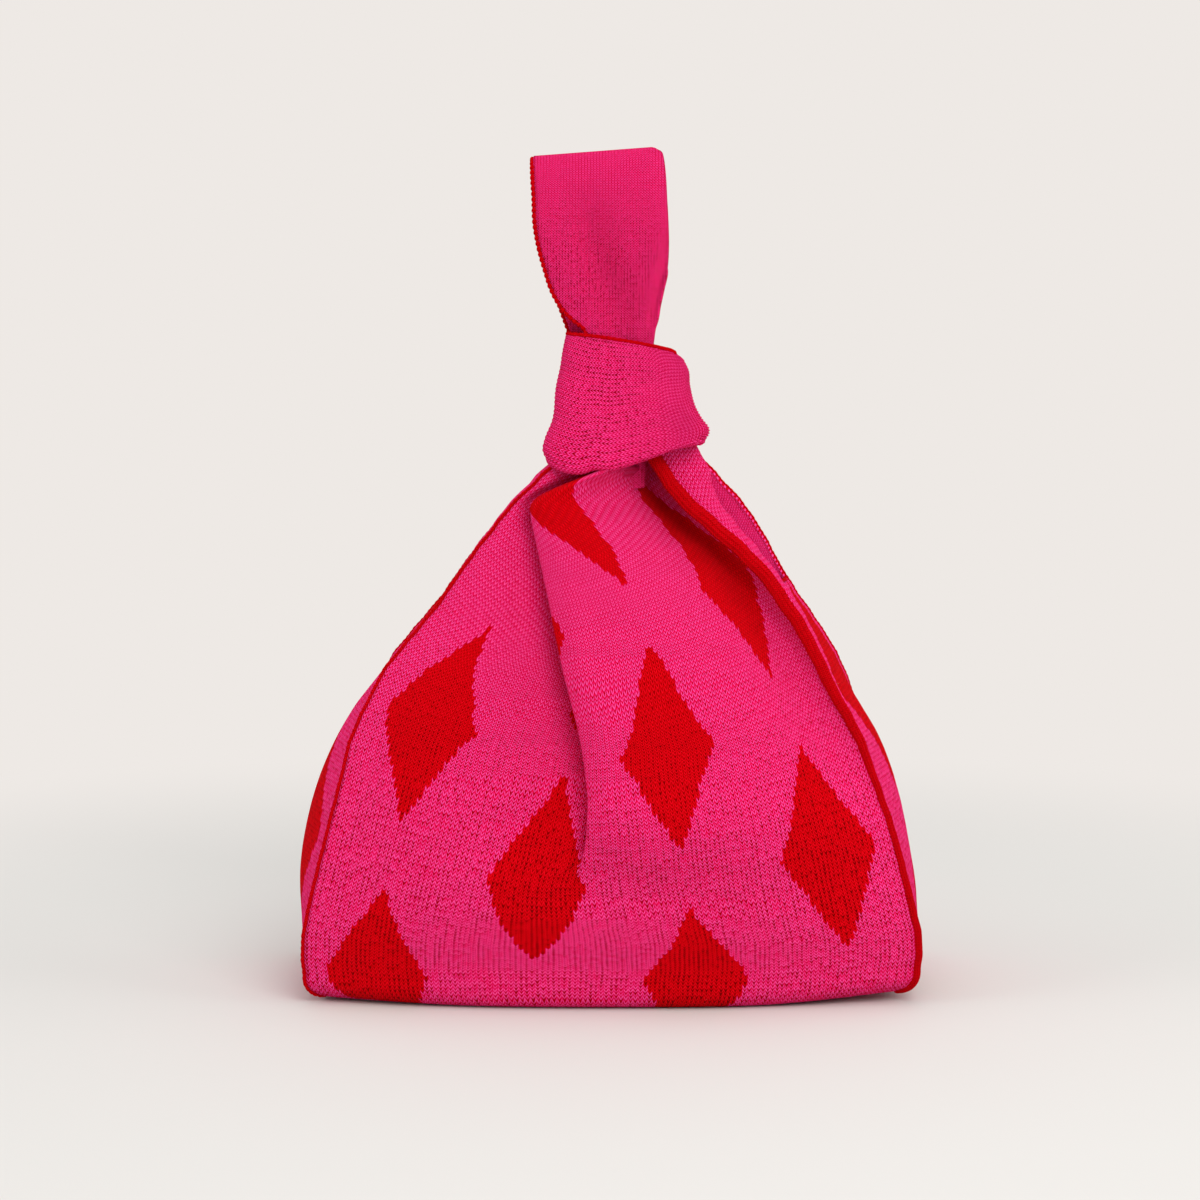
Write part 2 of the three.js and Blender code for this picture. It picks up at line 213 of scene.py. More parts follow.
def knit_stitch_group():
    """Stocking stitch: each column is a stack of V shaped stitches, two slanting legs each."""
    w, source, result = new_group(
        "Knit Stitch",
        [("Fabric", VECTOR, None), ("Stitch Width", FLOAT, 1.0), ("Stitch Height", FLOAT, 1.0),
         ("Slant", FLOAT, 0.9), ("Openness", FLOAT, 1.0)],
        [("Height", FLOAT), ("Cell", VECTOR), ("Fleck", FLOAT)],
    )
    split = w.node("ShaderNodeSeparateXYZ", {0: source["Fabric"]})
    wander = w.math("SUBTRACT", w.noise(source["Fabric"], 80.0, 1.0), 0.5)
    columns = w.math("DIVIDE", split.outputs[0], source["Stitch Width"])
    columns = w.math("MULTIPLY_ADD", wander, 0.5, columns)
    rows = w.math("DIVIDE", split.outputs[1], source["Stitch Height"])
    column = w.math("FLOOR", columns)
    leg = w.math("ABSOLUTE", w.math("MULTIPLY_ADD", w.math("FRACT", columns), 2.0, -1.0))
    slanted = w.math("SUBTRACT", rows, w.math("MULTIPLY", leg, source["Slant"]))
    row = w.math("FLOOR", slanted)

    def random(across, up):
        index = w.node("ShaderNodeCombineXYZ", {0: across, 1: up})
        fleck = w.node("ShaderNodeTexWhiteNoise", {"Vector": index.outputs[0]}, noise_dimensions="2D")
        return fleck.outputs["Value"]

    # Light legs, a line of holes down the middle of each V, and a fainter groove between columns. This height
    # also drives the yarn colour: a painted highlight on the legs, painted shade in the holes and the groove.
    drift = w.node("ShaderNodeCombineXYZ",
                   {0: w.math("MULTIPLY", column, 0.8), 1: w.math("MULTIPLY", rows, 0.09)})
    slack = w.math("MULTIPLY_ADD", w.noise(drift.outputs[0], 1.0, 1.0), 3.0, -1.0, clamp=True)
    hole_row = w.math("FLOOR", w.math("ADD", slanted, 0.5))
    openness = source["Openness"]
    loose = w.math("MULTIPLY_ADD", slack, w.math("MULTIPLY_ADD", openness, 0.65, 0.25),
                   w.math("MULTIPLY_ADD", openness, -0.6, 0.95))
    size = w.math("MULTIPLY_ADD", w.math("POWER", random(column, hole_row), 3.0),
                  w.math("MULTIPLY_ADD", openness, 2.4, 0.3), loose)
    size = w.math("MULTIPLY", size, w.math("MULTIPLY_ADD", openness, 0.4, 0.6))
    turned = w.math("COSINE", w.math("MULTIPLY", slanted, math.tau))
    hole_rows = w.math("MULTIPLY_ADD", turned, 0.45, 0.55)
    holes = w.math("POWER", w.math("SUBTRACT", 1.0, leg), 1.6)
    holes = w.math("MULTIPLY", w.math("MULTIPLY", holes, hole_rows), size)
    groove = w.math("MULTIPLY_ADD", slack, -0.3, w.math("MULTIPLY_ADD", openness, -0.45, 0.95))
    groove = w.math("MULTIPLY", w.math("POWER", leg, 4.5), groove)
    arch = w.math("SINE", w.math("MULTIPLY", w.math("FRACT", slanted), math.pi))
    crown = w.math("MULTIPLY_ADD", arch, 0.4, 0.7)
    crown = w.math("SUBTRACT", crown, w.math("ADD", holes, groove))
    w.feed(result["Height"], crown)

    cell = w.node("ShaderNodeCombineXYZ")
    for socket, index, pitch in zip(cell.inputs, (column, row), ("Stitch Width", "Stitch Height")):
        w.feed(socket, w.math("MULTIPLY", w.math("ADD", index, 0.5), source[pitch]))
    w.feed(result["Cell"], cell.outputs[0])
    w.feed(result["Fleck"], random(column, row))
    return w.tree


def lozenge_group():
    """A plain repeat of lozenges in half-drop columns, decided stitch by stitch."""
    w, source, result = new_group(
        "Half-Drop Lozenges",
        [("Cell", VECTOR, None), ("Width", FLOAT, 1.0), ("Height", FLOAT, 1.0),
         ("Column Spacing", FLOAT, 1.0), ("Row Spacing", FLOAT, 1.0),
         ("Shift", FLOAT, 0.0), ("Rise", FLOAT, 0.0)],
        [("Mask", FLOAT)],
    )
    split = w.node("ShaderNodeSeparateXYZ", {0: source["Cell"]})
    spacing, repeat = source["Column Spacing"], source["Row Spacing"]
    x = w.math("SUBTRACT", split.outputs[0], source["Shift"])
    column = w.math("ROUND", w.math("DIVIDE", x, spacing))
    dx = w.math("SUBTRACT", x, w.math("MULTIPLY", column, spacing))
    odd = w.math("FLOORED_MODULO", column, 2.0)
    half_drop = w.math("MULTIPLY", odd, w.math("MULTIPLY", repeat, 0.5))
    y = w.math("SUBTRACT", w.math("SUBTRACT", split.outputs[1], source["Rise"]), half_drop)
    row = w.math("ROUND", w.math("DIVIDE", y, repeat))
    dy = w.math("SUBTRACT", y, w.math("MULTIPLY", row, repeat))
    part_x = w.math("DIVIDE", w.math("ABSOLUTE", dx), w.math("MULTIPLY", source["Width"], 0.5))
    part_y = w.math("DIVIDE", w.math("ABSOLUTE", dy), w.math("MULTIPLY", source["Height"], 0.5))
    w.feed(result["Mask"], w.math("LESS_THAN", w.math("ADD", part_x, part_y), 1.0))
    return w.tree


def yarn_colour_and_painted_light_group():
    """Yarn colour with painted light: paler on the crowns of its stitches as a painted highlight, and deeper
    and more saturated between them as painted shade.
    """
    w, source, result = new_group(
        "Yarn Colour And Painted Light",
        [("Yarn", COLOUR, None), ("Stitch", FLOAT, 1.0), ("Fleck", FLOAT, 0.5),
         ("Depth", FLOAT, 1.9), ("Shadow", FLOAT, 0.34),
         ("Mottle Scale", FLOAT, 700.0), ("Unevenness", FLOAT, 0.4)],
        [("Color", COLOUR)],
    )
    place = w.node("ShaderNodeTexCoord")
    mottle = w.noise(place.outputs["Object"], source["Mottle Scale"], 2.0)
    spread = w.math("MULTIPLY_ADD", w.math("SUBTRACT", mottle, 0.5), 1.2,
                    w.math("SUBTRACT", source["Fleck"], 0.5))
    level = w.math("MULTIPLY_ADD", spread, source["Unevenness"], source["Stitch"],
                   clamp=True)
    # Painted light: the gamma pales the yarn on the crowns as a painted highlight and deepens it between the
    # stitches as painted shade, and the scale by Shadow darkens it there as painted shade.
    low = w.math("SUBTRACT", 1.0, level)
    depth = source["Depth"]
    palest = w.math("MULTIPLY_ADD", depth, -0.23, 1.0)
    gamma = w.math("MULTIPLY_ADD", w.math("POWER", low, 1.6), depth, palest)
    deeper = w.node("ShaderNodeGamma", {"Color": source["Yarn"], "Gamma": gamma})
    shade = w.math("SUBTRACT", 1.0, w.math("MULTIPLY", low, source["Shadow"]))
    scaled = w.node("ShaderNodeVectorMath", {0: deeper.outputs[0], "Scale": shade}, operation="SCALE")
    w.feed(result["Color"], scaled.outputs[0])
    return w.tree


# How each cloth is knitted: the stitches' size beside the body's, across and up; where along the columns
# they are closed and where widest; how open they are at most; how uneven the yarn gets there; and how deep
# and how dark the painted shade between the stitches is, the depth also setting the painted highlight on
# their crowns.
PLAIN = {"gauge": (1, 1), "opens": [], "widest": 0.3, "unevenness": 0.1, "depth": 2.15, "shadow": 0.34}
KNITS = {
    "jacquard": {**PLAIN, "name": "Jacquard Knit", "opens": [(240 * MM, 50 * MM)],
                 "widest": 0.9, "unevenness": 0.2},
    "pink": {**PLAIN, "name": "Pink Knit"},
    "knot": {**PLAIN, "name": "Pink Knot Knit", "gauge": (0.85, 1),
             "opens": [(55 * MM, 85 * MM), (135 * MM, 105 * MM)],
             "widest": 0.8, "depth": 1.9, "shadow": 0.5},
    "loop": {**PLAIN, "name": "Pink Loop Knit", "gauge": (0.62, 0.62), "opens": [(150 * MM, 100 * MM)],
             "widest": 0.8, "depth": 1.8, "shadow": 0.42},
    "red": {**PLAIN, "name": "Red Knit", "gauge": (0.7, 0.65)},
}
# How deep and how dark the painted shade between the red yarn's stitches is; the depth also sets the painted
# highlight on their crowns.
RED_DEPTH = 0.7
RED_SHADOW = 0.5
CLOSED_UNEVENNESS = 0.1
YARN_SURFACE = {
    "Roughness": 0.9,
    "Specular IOR Level": 0.01,
    "Sheen Weight": 0.01,
    "Sheen Roughness": 0.3,
    "Sheen Tint": (1, 0.45, 0.7, 1),
}
BUMP_STRENGTH = 0.75
BUMP_DISTANCE = 0.9 * MM

# The lozenges' columns and rows, in widths and heights of one, and how far the lowest stands up the cloth.
LOZENGE_COLUMNS = 1.45
LOZENGE_ROWS = 1.3
LOZENGE_RISE = 18 * MM

# The materials by kind, once make_materials has run.
MATERIALS = {}


def empty_material(name):
    """A material without nodes, and the wiring of its tree."""
    material = bpy.data.materials.new(name)
    material.use_nodes = True
    material.node_tree.nodes.clear()
    return material, Wiring(material.node_tree)


def cloth_material(knit, kind, groups, sizes, colours):
    """Knitted cloth of one of the kinds in KNITS."""
    material, w = empty_material(knit["name"])
    fabric = w.node("ShaderNodeUVMap", uv_map="Fabric").outputs[0]
    across, up = knit["gauge"]
    height = w.node("ShaderNodeSeparateXYZ", {0: fabric}).outputs[1]
    openness = knit["widest"]
    for closed, opened in knit["opens"]:
        stretched = w.node("ShaderNodeMapRange", {"Value": height, "From Min": closed, "From Max": opened},
                           interpolation_type="SMOOTHSTEP")
        openness = w.math("MULTIPLY", openness, stretched.outputs[0])
    unevenness = w.math("MULTIPLY_ADD", openness, knit["unevenness"], CLOSED_UNEVENNESS)
    stitch = w.node("ShaderNodeGroup", {
        "Fabric": fabric,
        "Stitch Width": sizes.stitch_width * across,
        "Stitch Height": sizes.stitch_height * up,
        "Openness": openness,
    }, node_tree=groups["stitch"])

    # The yarn's colour with a painted highlight on the crowns of its stitches and painted shade between them.
    def yarn(dye, depth, shadow):
        made = w.node("ShaderNodeGroup", {
            "Yarn": (*dye, 1),
            "Depth": depth,
            "Shadow": shadow,
            "Stitch": stitch.outputs["Height"],
            "Fleck": stitch.outputs["Fleck"],
            "Unevenness": unevenness,
        }, node_tree=groups["yarn"])
        return made.outputs["Color"]

    red = (colours.red, RED_DEPTH, RED_SHADOW)
    colour = yarn(*red) if kind == "red" else yarn(colours.pink, knit["depth"], knit["shadow"])
    if kind == "jacquard":
        spacing = sizes.lozenge_width * LOZENGE_COLUMNS
        motif = w.node("ShaderNodeGroup", {
            "Cell": stitch.outputs["Cell"],
            "Width": sizes.lozenge_width,
            "Height": sizes.lozenge_height,
            "Column Spacing": spacing,
            "Row Spacing": sizes.lozenge_height * LOZENGE_ROWS,
            "Shift": spacing / 2,
            "Rise": LOZENGE_RISE,
        }, node_tree=groups["lozenges"])
        colour = w.mix(motif.outputs["Mask"], colour, yarn(*red))
    bump = w.node("ShaderNodeBump", {"Strength": BUMP_STRENGTH, "Distance": BUMP_DISTANCE,
                                     "Height": stitch.outputs["Height"]})
    shader = w.node("ShaderNodeBsdfPrincipled",
                    {"Base Color": colour, "Normal": bump.outputs[0], **YARN_SURFACE})
    w.node("ShaderNodeOutputMaterial", {0: shader.outputs[0]})
    return material


def make_materials(sizes, colours):
    groups = {"stitch": knit_stitch_group(), "lozenges": lozenge_group(), "yarn": yarn_colour_and_painted_light_group()}
    for kind, knit in KNITS.items():
        MATERIALS[kind] = cloth_material(knit, kind, groups, sizes, colours)


# Shapes made of rows of points.


def hermite(t, start, end, leave, arrive):
    """A cubic from start to end that leaves and arrives at these slopes."""
    t2, t3 = t * t, t * t * t
    return (start * (2 * t3 - 3 * t2 + 1) + end * (3 * t2 - 2 * t3)
            + leave * (t3 - 2 * t2 + t) + arrive * (t3 - t2))


def smooth_line(keys, counts):
    """Points on a curve through `keys` that leaves counts[k] steps between key k and the next."""
    keys = np.asarray(keys, float)
    gaps = np.maximum(np.linalg.norm(np.diff(keys, axis=0), axis=1), 1e-3)
    slopes = np.diff(keys, axis=0) / gaps[:, None]
    tangents = np.empty_like(keys)
    tangents[0], tangents[-1] = slopes[0], slopes[-1]
    before, after = gaps[:-1, None], gaps[1:, None]
    tangents[1:-1] = (slopes[:-1] * after + slopes[1:] * before) / (before + after)
    points = []
    for k, count in enumerate(counts):
        t = np.arange(count)[:, None] / count
        points.append(hermite(t, keys[k], keys[k + 1], tangents[k] * gaps[k], tangents[k + 1] * gaps[k]))
    points.append(keys[-1:])
    return np.concatenate(points)


def swell(value, rise, place, spread):
    """A soft swelling of this rise round a place."""
    return rise * math.exp(-((value - place) / spread) ** 2)


def ease(value, low, high):
    """0 below low, 1 above high, and smooth between."""
    t = np.clip((np.asarray(value, float) - low) / (high - low), 0, 1)
    return t * t * (3 - 2 * t)


def along(line):
    """Running length of a polyline."""
    steps = np.linalg.norm(np.diff(line, axis=0), axis=1)
    return np.concatenate([[0], np.cumsum(steps)])


def table(pairs, value):
    """The value of a table at one place or many, straight between its rows."""
    xs, ys = zip(*pairs)
    return np.interp(value, xs, ys)


def curve(pairs, value):
    """The smooth value of a table at one place or many."""
    xs, ys = (np.array(c, float) for c in zip(*pairs))
    slopes = np.gradient(ys, xs)
    value = np.clip(np.asarray(value, float), xs[0], xs[-1])
    k = np.clip(np.searchsorted(xs, value, side="right") - 1, 0, len(xs) - 2)
    span = xs[k + 1] - xs[k]
    return hermite((value - xs[k]) / span, ys[k], ys[k + 1], slopes[k] * span, slopes[k + 1] * span)


def grid_normals(points, closed=False):
    """The outward direction at each point of a grid, whose rows may be rings."""
    if closed:
        across = np.roll(points, -1, axis=1) - np.roll(points, 1, axis=1)
    else:
        across = np.gradient(points, axis=1)
    up = np.gradient(points, axis=0)
    normal = np.cross(across, up)
    return normal / np.maximum(np.linalg.norm(normal, axis=2, keepdims=True), 1e-9)


def soft_folds(points, folds):
    """Presses long soft hollows, or raises ridges, into a wall that faces +Y or -Y.
    Each fold is (start x, start z, end x, end z, width, depth) in millimetres."""
    inward = -np.sign(points[:, :, 1].mean())
    flat = points[:, :, (0, 2)]
    push = np.zeros(points.shape[:2])
    for x0, z0, x1, z1, width, depth in folds:
        start, run = np.array([x0, z0]), np.array([x1 - x0, z1 - z0])
        t = np.clip(((flat - start) @ run) / (run @ run), 0, 1)
        off = np.linalg.norm(flat - (start + t[..., None] * run), axis=2)
        taper = np.sin(np.pi * np.clip(t * 0.86 + 0.07, 0, 1)) ** 0.7
        push += depth * np.exp(-((off / width) ** 2)) * taper
    pressed = points.copy()
    pressed[:, :, 1] += inward * push
    return pressed


def cloth_object(name, points, fabric, material, thickness, closed=False, flip=False):
    """A sheet of cloth from a grid of outer points in millimetres and their places on the flat fabric."""
    rows, columns = points.shape[:2]
    mesh = bpy.data.meshes.new(name)
    wrap = columns if closed else columns - 1
    faces, corners = [], []
    for j in range(rows - 1):
        for i in range(wrap):
            k = (i + 1) % columns
            face = [j * columns + i, j * columns + k, (j + 1) * columns + k, (j + 1) * columns + i]
            spots = [(j, i), (j, i + 1), (j + 1, i + 1), (j + 1, i)]
            if flip:
                face, spots = face[::-1], spots[::-1]
            faces.append(face)
            corners.extend(spots)
    mesh.from_pydata((points.reshape(-1, 3) * MM).tolist(), [], faces)
    layer = mesh.uv_layers.new(name="Fabric")
    flat = np.array([fabric[j, i] for j, i in corners]) * MM
    layer.data.foreach_set("uv", flat.astype(np.float32).ravel())
    mesh.polygons.foreach_set("use_smooth", [True] * len(mesh.polygons))
    mesh.materials.append(material)
    piece = bpy.data.objects.new(name, mesh)
    bpy.context.scene.collection.objects.link(piece)
    bpy.context.view_layer.objects.active = piece
    if thickness:
        solid = piece.modifiers.new("Cloth Thickness", "SOLIDIFY")
        solid.thickness = thickness
        solid.offset = -1
    return piece


def finish_piece(piece, nodes):
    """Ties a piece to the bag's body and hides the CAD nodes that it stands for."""
    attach(piece, "bag")
    if nodes:
        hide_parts(*nodes)
    return piece


def wall_rows(foot, top, step=2.4):
    """Rows of a wall, as (height, inset, length up the cloth): round the foot, then up."""
    rows = []
    for k in range(FOOT_ROWS):
        turn = math.pi / 2 * k / FOOT_ROWS
        rows.append((foot * (1 - math.cos(turn)), foot * (1 - math.sin(turn)), foot * turn))
    count = int((top - foot) / step)
    for k in range(count + 1):
        z = foot + (top - foot) * k / count
        rows.append((z, 0.0, foot * math.pi / 2 + z - foot))
    return rows


# Half the width and half the depth of the bag's foot, the height below which the seams' lines aren't read,
# where the mouth's slit begins and the walls end, where the front and the back end, and a height at which the
# front is hardly folded, in millimetres.
HALF_WIDTH = 145.0
HALF_DEPTH = 60.0
LOWEST_SEAM = 12
SLIT_BOTTOM = 176
WALL_TOP = 262
CLOTH_TOP = FRONT_TOP - 3
BELOW_PLEAT = 52

# How far the cloths reach past the seams' lines, and how squarely the front and the back bulge between them.
PAST_SEAM = 0.9
SQUARENESS = 2.3
FOOT_ROWS = 8

# The foot's corners rise off the floor by this much, left and right, and the rise dies out up the wall.
CORNER_RISE = (2.2, 5.0)
RISE_ENDS = (5, 75)


def lift_at(x):
    """How far the wall's foot lifts off the floor towards its corners."""
    share = np.asarray(x) / HALF_WIDTH
    left, right = CORNER_RISE
    return np.where(share > 0, right, left) * ease(np.abs(share), 0.35, 1.05) ** 1.3


def wall_lift(x, z):
    """How far a spot of a wall is lifted with its foot."""
    return lift_at(x) * (1 - ease(z, *RISE_ENDS))


# How deep the front sinks beside the rolled seam, at a height.
RIGHT_HOLLOW = [(85, 0), (115, 4), (150, 10), (180, 14), (205, 17), (226, 20), (262, 20)]

# The pleat's edge, as x at a height, and how far the pleat is folded there.
PLEAT_EDGE = [
    (44, -33), (52, -28.6), (60, -24.4), (66, -21), (71, -18.2), (78, -15), (84, -13), (90, -11.9),
    (97, -11.4), (105, -11.7), (116, -12.9), (128, -15), (145, -19.4), (158, -22.8), (172, -26),
    (192, -30.2), (212, -34.8), (226, -37.8), (230, -38.2), (233, -36.6), (235.5, -33.5),
    (238.5, -27.5), (243, -16.8), (246.5, -8), (249, -5), (262, -5),
]
PLEAT_FOLD = [
    (48, 0), (56, 0.05), (64, 0.24), (72, 0.55), (84, 0.86), (104, 0.97), (130, 1), (247, 1),
    (254, 0), (262, 0),
]


# How deep the cloth sinks beside the pleat, and by how much more, round what height and over what spread.
RECESS = 9.5
DEEPER_RECESS = (6.0, 135, 60)

# Where the pleat's key points lie in the flat cloth below it, as shares of the strip that it folds.
UNFOLDED_SHARES = (0.05, 0.15, 0.3, 0.42, 0.5, 0.55, 0.62, 0.75, 0.9)

# Key points between the left seam and the pleat, as shares of the way and of the recess; and between the
# pleat and the right seam, as shares of the way and of the pleat's height, low down and how much less above.
LEFT_OF_PLEAT = ((0.35, 0.04), (0.72, 0.42))
RIGHT_OF_PLEAT = ((0.2, 1.0, 0.2), (0.45, 0.75, 0.6), (0.7, 0.3, 0.3))

# How far the rows of stitches follow the lean of the left and the right seam, and how much the knit right of
# the pleat is gathered towards the knot.
ROW_TILTS = (0.8, 0.55)
GATHER = 0.3

# Steps across the front from one of its key points to the next.
FRONT_STEPS = [16, 16, 8, 4, 6, 4, 4, 6, 5, 5, 5, 6, 12, 14, 14, 8]


def lean_at(name, z):
    """Sine of the angle by which a seam leans inward at a height."""
    reach = 12
    low, high = SEAMS[name].at(z - reach), SEAMS[name].at(z + reach)
    run = abs(high[0]) - abs(low[0])
    return -run / math.hypot(run, 2 * reach)


def front_line(z, sizes, spread=1.0):
    """The front's outer line at one height, from the left seam to the right one, and its fabric.
    The fabric is `spread` times as wide as the line."""
    (left_x, left_y), (right_x, right_y) = (
        SEAMS[name].at(max(z, LOWEST_SEAM)) for name in ("front_left_seam", "front_right_seam"))
    left_x, right_x = left_x - PAST_SEAM, right_x + PAST_SEAM
    depth = DEPTH.at(max(z, LOWEST_SEAM))
    fold = float(np.clip(curve(PLEAT_FOLD, z), 0, 1))
    edge = float(curve(PLEAT_EDGE, z))
    proud = sizes.pleat_height / MM * fold
    reach = sizes.pleat_reach / MM * float(ease(fold, 0.3, 0.85))
    sink = (RECESS + swell(z, *DEEPER_RECESS)) * fold

    def bulge(x):
        half = -left_x if x < 0 else right_x
        side = left_y if x < 0 else right_y
        return side - (depth + side) * (1 - min(abs(x) / half, 1) ** SQUARENESS)

    def between(share, a, b):
        return a + (b - a) * share

    shelf = bulge(edge)
    plain = [between(share, edge - 5, edge + 16) for share in UNFOLDED_SHARES]
    folded = [edge - 1, edge + 7, edge + reach, edge + reach + 2.5, edge + reach, edge + 7,
              edge + 1.2, edge, edge + 4.5]
    lift = [sink * 0.75, sink, sink, sink - 1.5, sink - 3.6, sink - 4.8,
            -proud * 0.05, -proud * 0.55, -proud * 0.94]
    hollow = float(curve(RIGHT_HOLLOW, z)) * fold
    keys = [(left_x, left_y)]
    for share, sunk in LEFT_OF_PLEAT:
        x = between(share, left_x, edge)
        keys.append((x, bulge(x) + sink * sunk))
    for p, f, up in zip(plain, folded, lift):
        x = between(fold, p, f)
        keys.append((x, between(fold, bulge(x), shelf + up)))
    narrow = float(ease(z, 185, 240))
    for share, rise, fall in RIGHT_OF_PLEAT:
        x = between(share, edge, right_x)
        keys.append((x, bulge(x) - proud * (rise - fall * narrow) + hollow * share ** (2.6 - 1.1 * narrow)))
    near = right_x - min(11.0, 0.2 * (right_x - edge))
    keys.append((near, bulge(near) + hollow * 0.95))
    keys.append((right_x, right_y))
    line = smooth_line(keys, FRONT_STEPS)
    length = along(line)
    from_left, from_right = length, length[-1] - length
    share = ease(np.arange(len(line)), sum(FRONT_STEPS[:5]), sum(FRONT_STEPS[:9]))
    gathered = 1 + GATHER * float(ease(z, 60, 240))
    left_lean, right_lean = (lean_at(name, z) for name in ("front_left_seam", "front_right_seam"))
    hidden = float(ease(fold, 0.05, 0.6))
    middle = ease(line[:, 0], edge - 45, edge + 45)
    share = share * hidden + middle * (1 - hidden)
    from_right_seam = HALF_WIDTH - from_right * spread * gathered
    across = (from_left * spread - HALF_WIDTH) * (1 - share) + from_right_seam * share
    left_tilt, right_tilt = left_lean * ROW_TILTS[0], right_lean * ROW_TILTS[1]
    rise = from_left * left_tilt * (1 - share) + from_right * right_tilt * share
    return line, across, rise


# Soft folds of the front and of the back, as soft_folds takes them.
FRONT_FOLDS = [
    (-12, 92, -25, 60, 4.5, -1.6),
    (6, 300, 33, 190, 12, 9.0),
    (-12, 66, -60, 92, 16, 2.6),
    (-14, 70, -20, 40, 14, 1.5),
    (-8, 62, 40, 50, 16, 1.6),
    (30, 235, 62, 180, 12, 3.0),
    (10, 200, 60, 120, 18, -1.6),
    (-100, 120, -60, 160, 22, -2.0),
    (90, 120, 110, 60, 20, -1.8),
]
BACK_FOLDS = [
    (10, 240, 60, 120, 16, 3.5),
    (-8, 240, -50, 110, 16, 3.5),
    (0, 240, 5, 90, 14, -3.0),
    (-90, 130, -110, 60, 22, -2.0),
    (90, 110, 60, 60, 22, 2.0),
]


class KNOTBAG_OT_front_panel(bpy.types.Operator):
    """Builds the front of the bag with its deep pleat"""

    bl_idname = "knotbag.front_panel"
    bl_label = "Front Panel"

    def execute(self, context):
        sizes = context.scene.knot_bag_sizes
        foot = sizes.foot_radius / MM
        spread = HALF_WIDTH * 2 / along(front_line(BELOW_PLEAT, sizes)[0])[-1]
        points, fabric = [], []
        for z, inset, length in wall_rows(foot, CLOTH_TOP, 1.6):
            line, across, rise = front_line(z, sizes, spread)
            half = np.abs(line[:, 0]).max()
            x = line[:, 0] * (1 - inset / half)
            y = line[:, 1] + inset
            points.append(np.stack([x, y, z + wall_lift(x, z)], axis=1))
            fabric.append(np.stack([across, length + rise], axis=1))
        points = soft_folds(np.array(points), FRONT_FOLDS)
        piece = cloth_object("front_cloth", points, np.array(fabric), MATERIALS["jacquard"], 0.8 * MM)
        finish_piece(piece, ["front_panel"])
        return {"FINISHED"}


class KNOTBAG_OT_back_panel(bpy.types.Operator):
    """Builds the back of the bag"""

    bl_idname = "knotbag.back_panel"
    bl_label = "Back Panel"

    def execute(self, context):
        sizes = context.scene.knot_bag_sizes
        foot = sizes.foot_radius / MM
        points, fabric = [], []
        for z, inset, length in wall_rows(foot, CLOTH_TOP):
            height = max(z, LOWEST_SEAM)
            left_x, left_y = SEAMS["back_left_seam"].at(height)
            right_x, right_y = SEAMS["back_right_seam"].at(height)
            share = np.linspace(1, -1, 110)
            x = np.where(share > 0, share * (right_x + PAST_SEAM), -share * (left_x - PAST_SEAM))
            side = np.where(share > 0, right_y, left_y)
            y = side + (DEPTH.at(height) - side) * (1 - np.abs(share) ** SQUARENESS) - inset
            x = x * (1 - inset / HALF_WIDTH)
            points.append(np.stack([x, y, z + wall_lift(x, z)], axis=1))
            fabric.append(np.stack([HALF_WIDTH * (2 - share), np.full(len(x), length)], axis=1))
        points = soft_folds(np.array(points), BACK_FOLDS)
        piece = cloth_object("back_cloth", points, np.array(fabric), MATERIALS["jacquard"], sizes.cloth)
        finish_piece(piece, ["back_panel"])
        return {"FINISHED"}


def outer_reach(points):
    """How far points stand from the middle, at a few heights."""
    heights = np.linspace(points[:, 2].min(), points[:, 2].max(), 16)
    near = [np.abs(points[np.abs(points[:, 2] - z) < 9, 0]).max() for z in heights]
    return heights, near


# Where a side wall is fuller than its seams: by how much, at what height and over what spread.
FULLNESS = {-1: [(1.8, 48, 26)], 1: [(3.2, 118, 34), (1.2, 45, 18)]}


def gusset_points(side, sizes):
    """A side wall from the front seam round to the back one."""
    names = ("front_left_seam", "back_left_seam") if side < 0 else ("front_right_seam", "back_right_seam")
    wall = node_points("left_gusset" if side < 0 else "right_gusset")
    top = wall[:, 2].max()
    middle = wall[np.abs(wall[:, 1]) < 2]
    outer = middle[np.abs(middle[:, 0]) > np.interp(middle[:, 2], *outer_reach(middle)) - 1.2]
    outline = np.polyfit(outer[:, 2], np.abs(outer[:, 0]), 5)
    foot = sizes.foot_radius / MM
    points, fabric = [], []
    for z, inset, length in wall_rows(foot, top):
        height = max(z, LOWEST_SEAM)
        (front_x, front_y), (back_x, back_y) = (SEAMS[n].at(height) for n in names)
        reach = np.polyval(outline, height)
        share = np.linspace(0, 1, 50)
        crease = np.abs(front_x + (back_x - front_x) * share) + PAST_SEAM
        bulge = max(reach - max(abs(front_x), abs(back_x)), 0) * 0.9
        if side < 0:
            bulge *= 1 - 0.9 * float(ease(height, 132, 166))
        bulge += sum(swell(height, *fuller) for fuller in FULLNESS[side])
        x = side * (crease + bulge * np.sin(np.pi * share) ** 1.2 - inset)
        y = (front_y + (back_y - front_y) * share) * (1 - inset / HALF_DEPTH)
        points.append(np.stack([x, y, z + wall_lift(x, z)], axis=1))
        across = side * HALF_WIDTH + side * (y - front_y)
        fabric.append(np.stack([across, np.full(len(x), length)], axis=1))
    return np.array(points), np.array(fabric)


class KNOTBAG_OT_gussets(bpy.types.Operator):
    """Builds the two side walls of the bag"""

    bl_idname = "knotbag.gussets"
    bl_label = "Side Gussets"

    def execute(self, context):
        sizes = context.scene.knot_bag_sizes
        for name, side in (("left", -1), ("right", 1)):
            points, fabric = gusset_points(side, sizes)
            piece = cloth_object(
                f"{name}_side_cloth", points, fabric, MATERIALS["jacquard"], sizes.cloth, flip=side < 0)
            finish_piece(piece, [f"{name}_gusset"])
        return {"FINISHED"}


OFF_FLOOR = 0.15


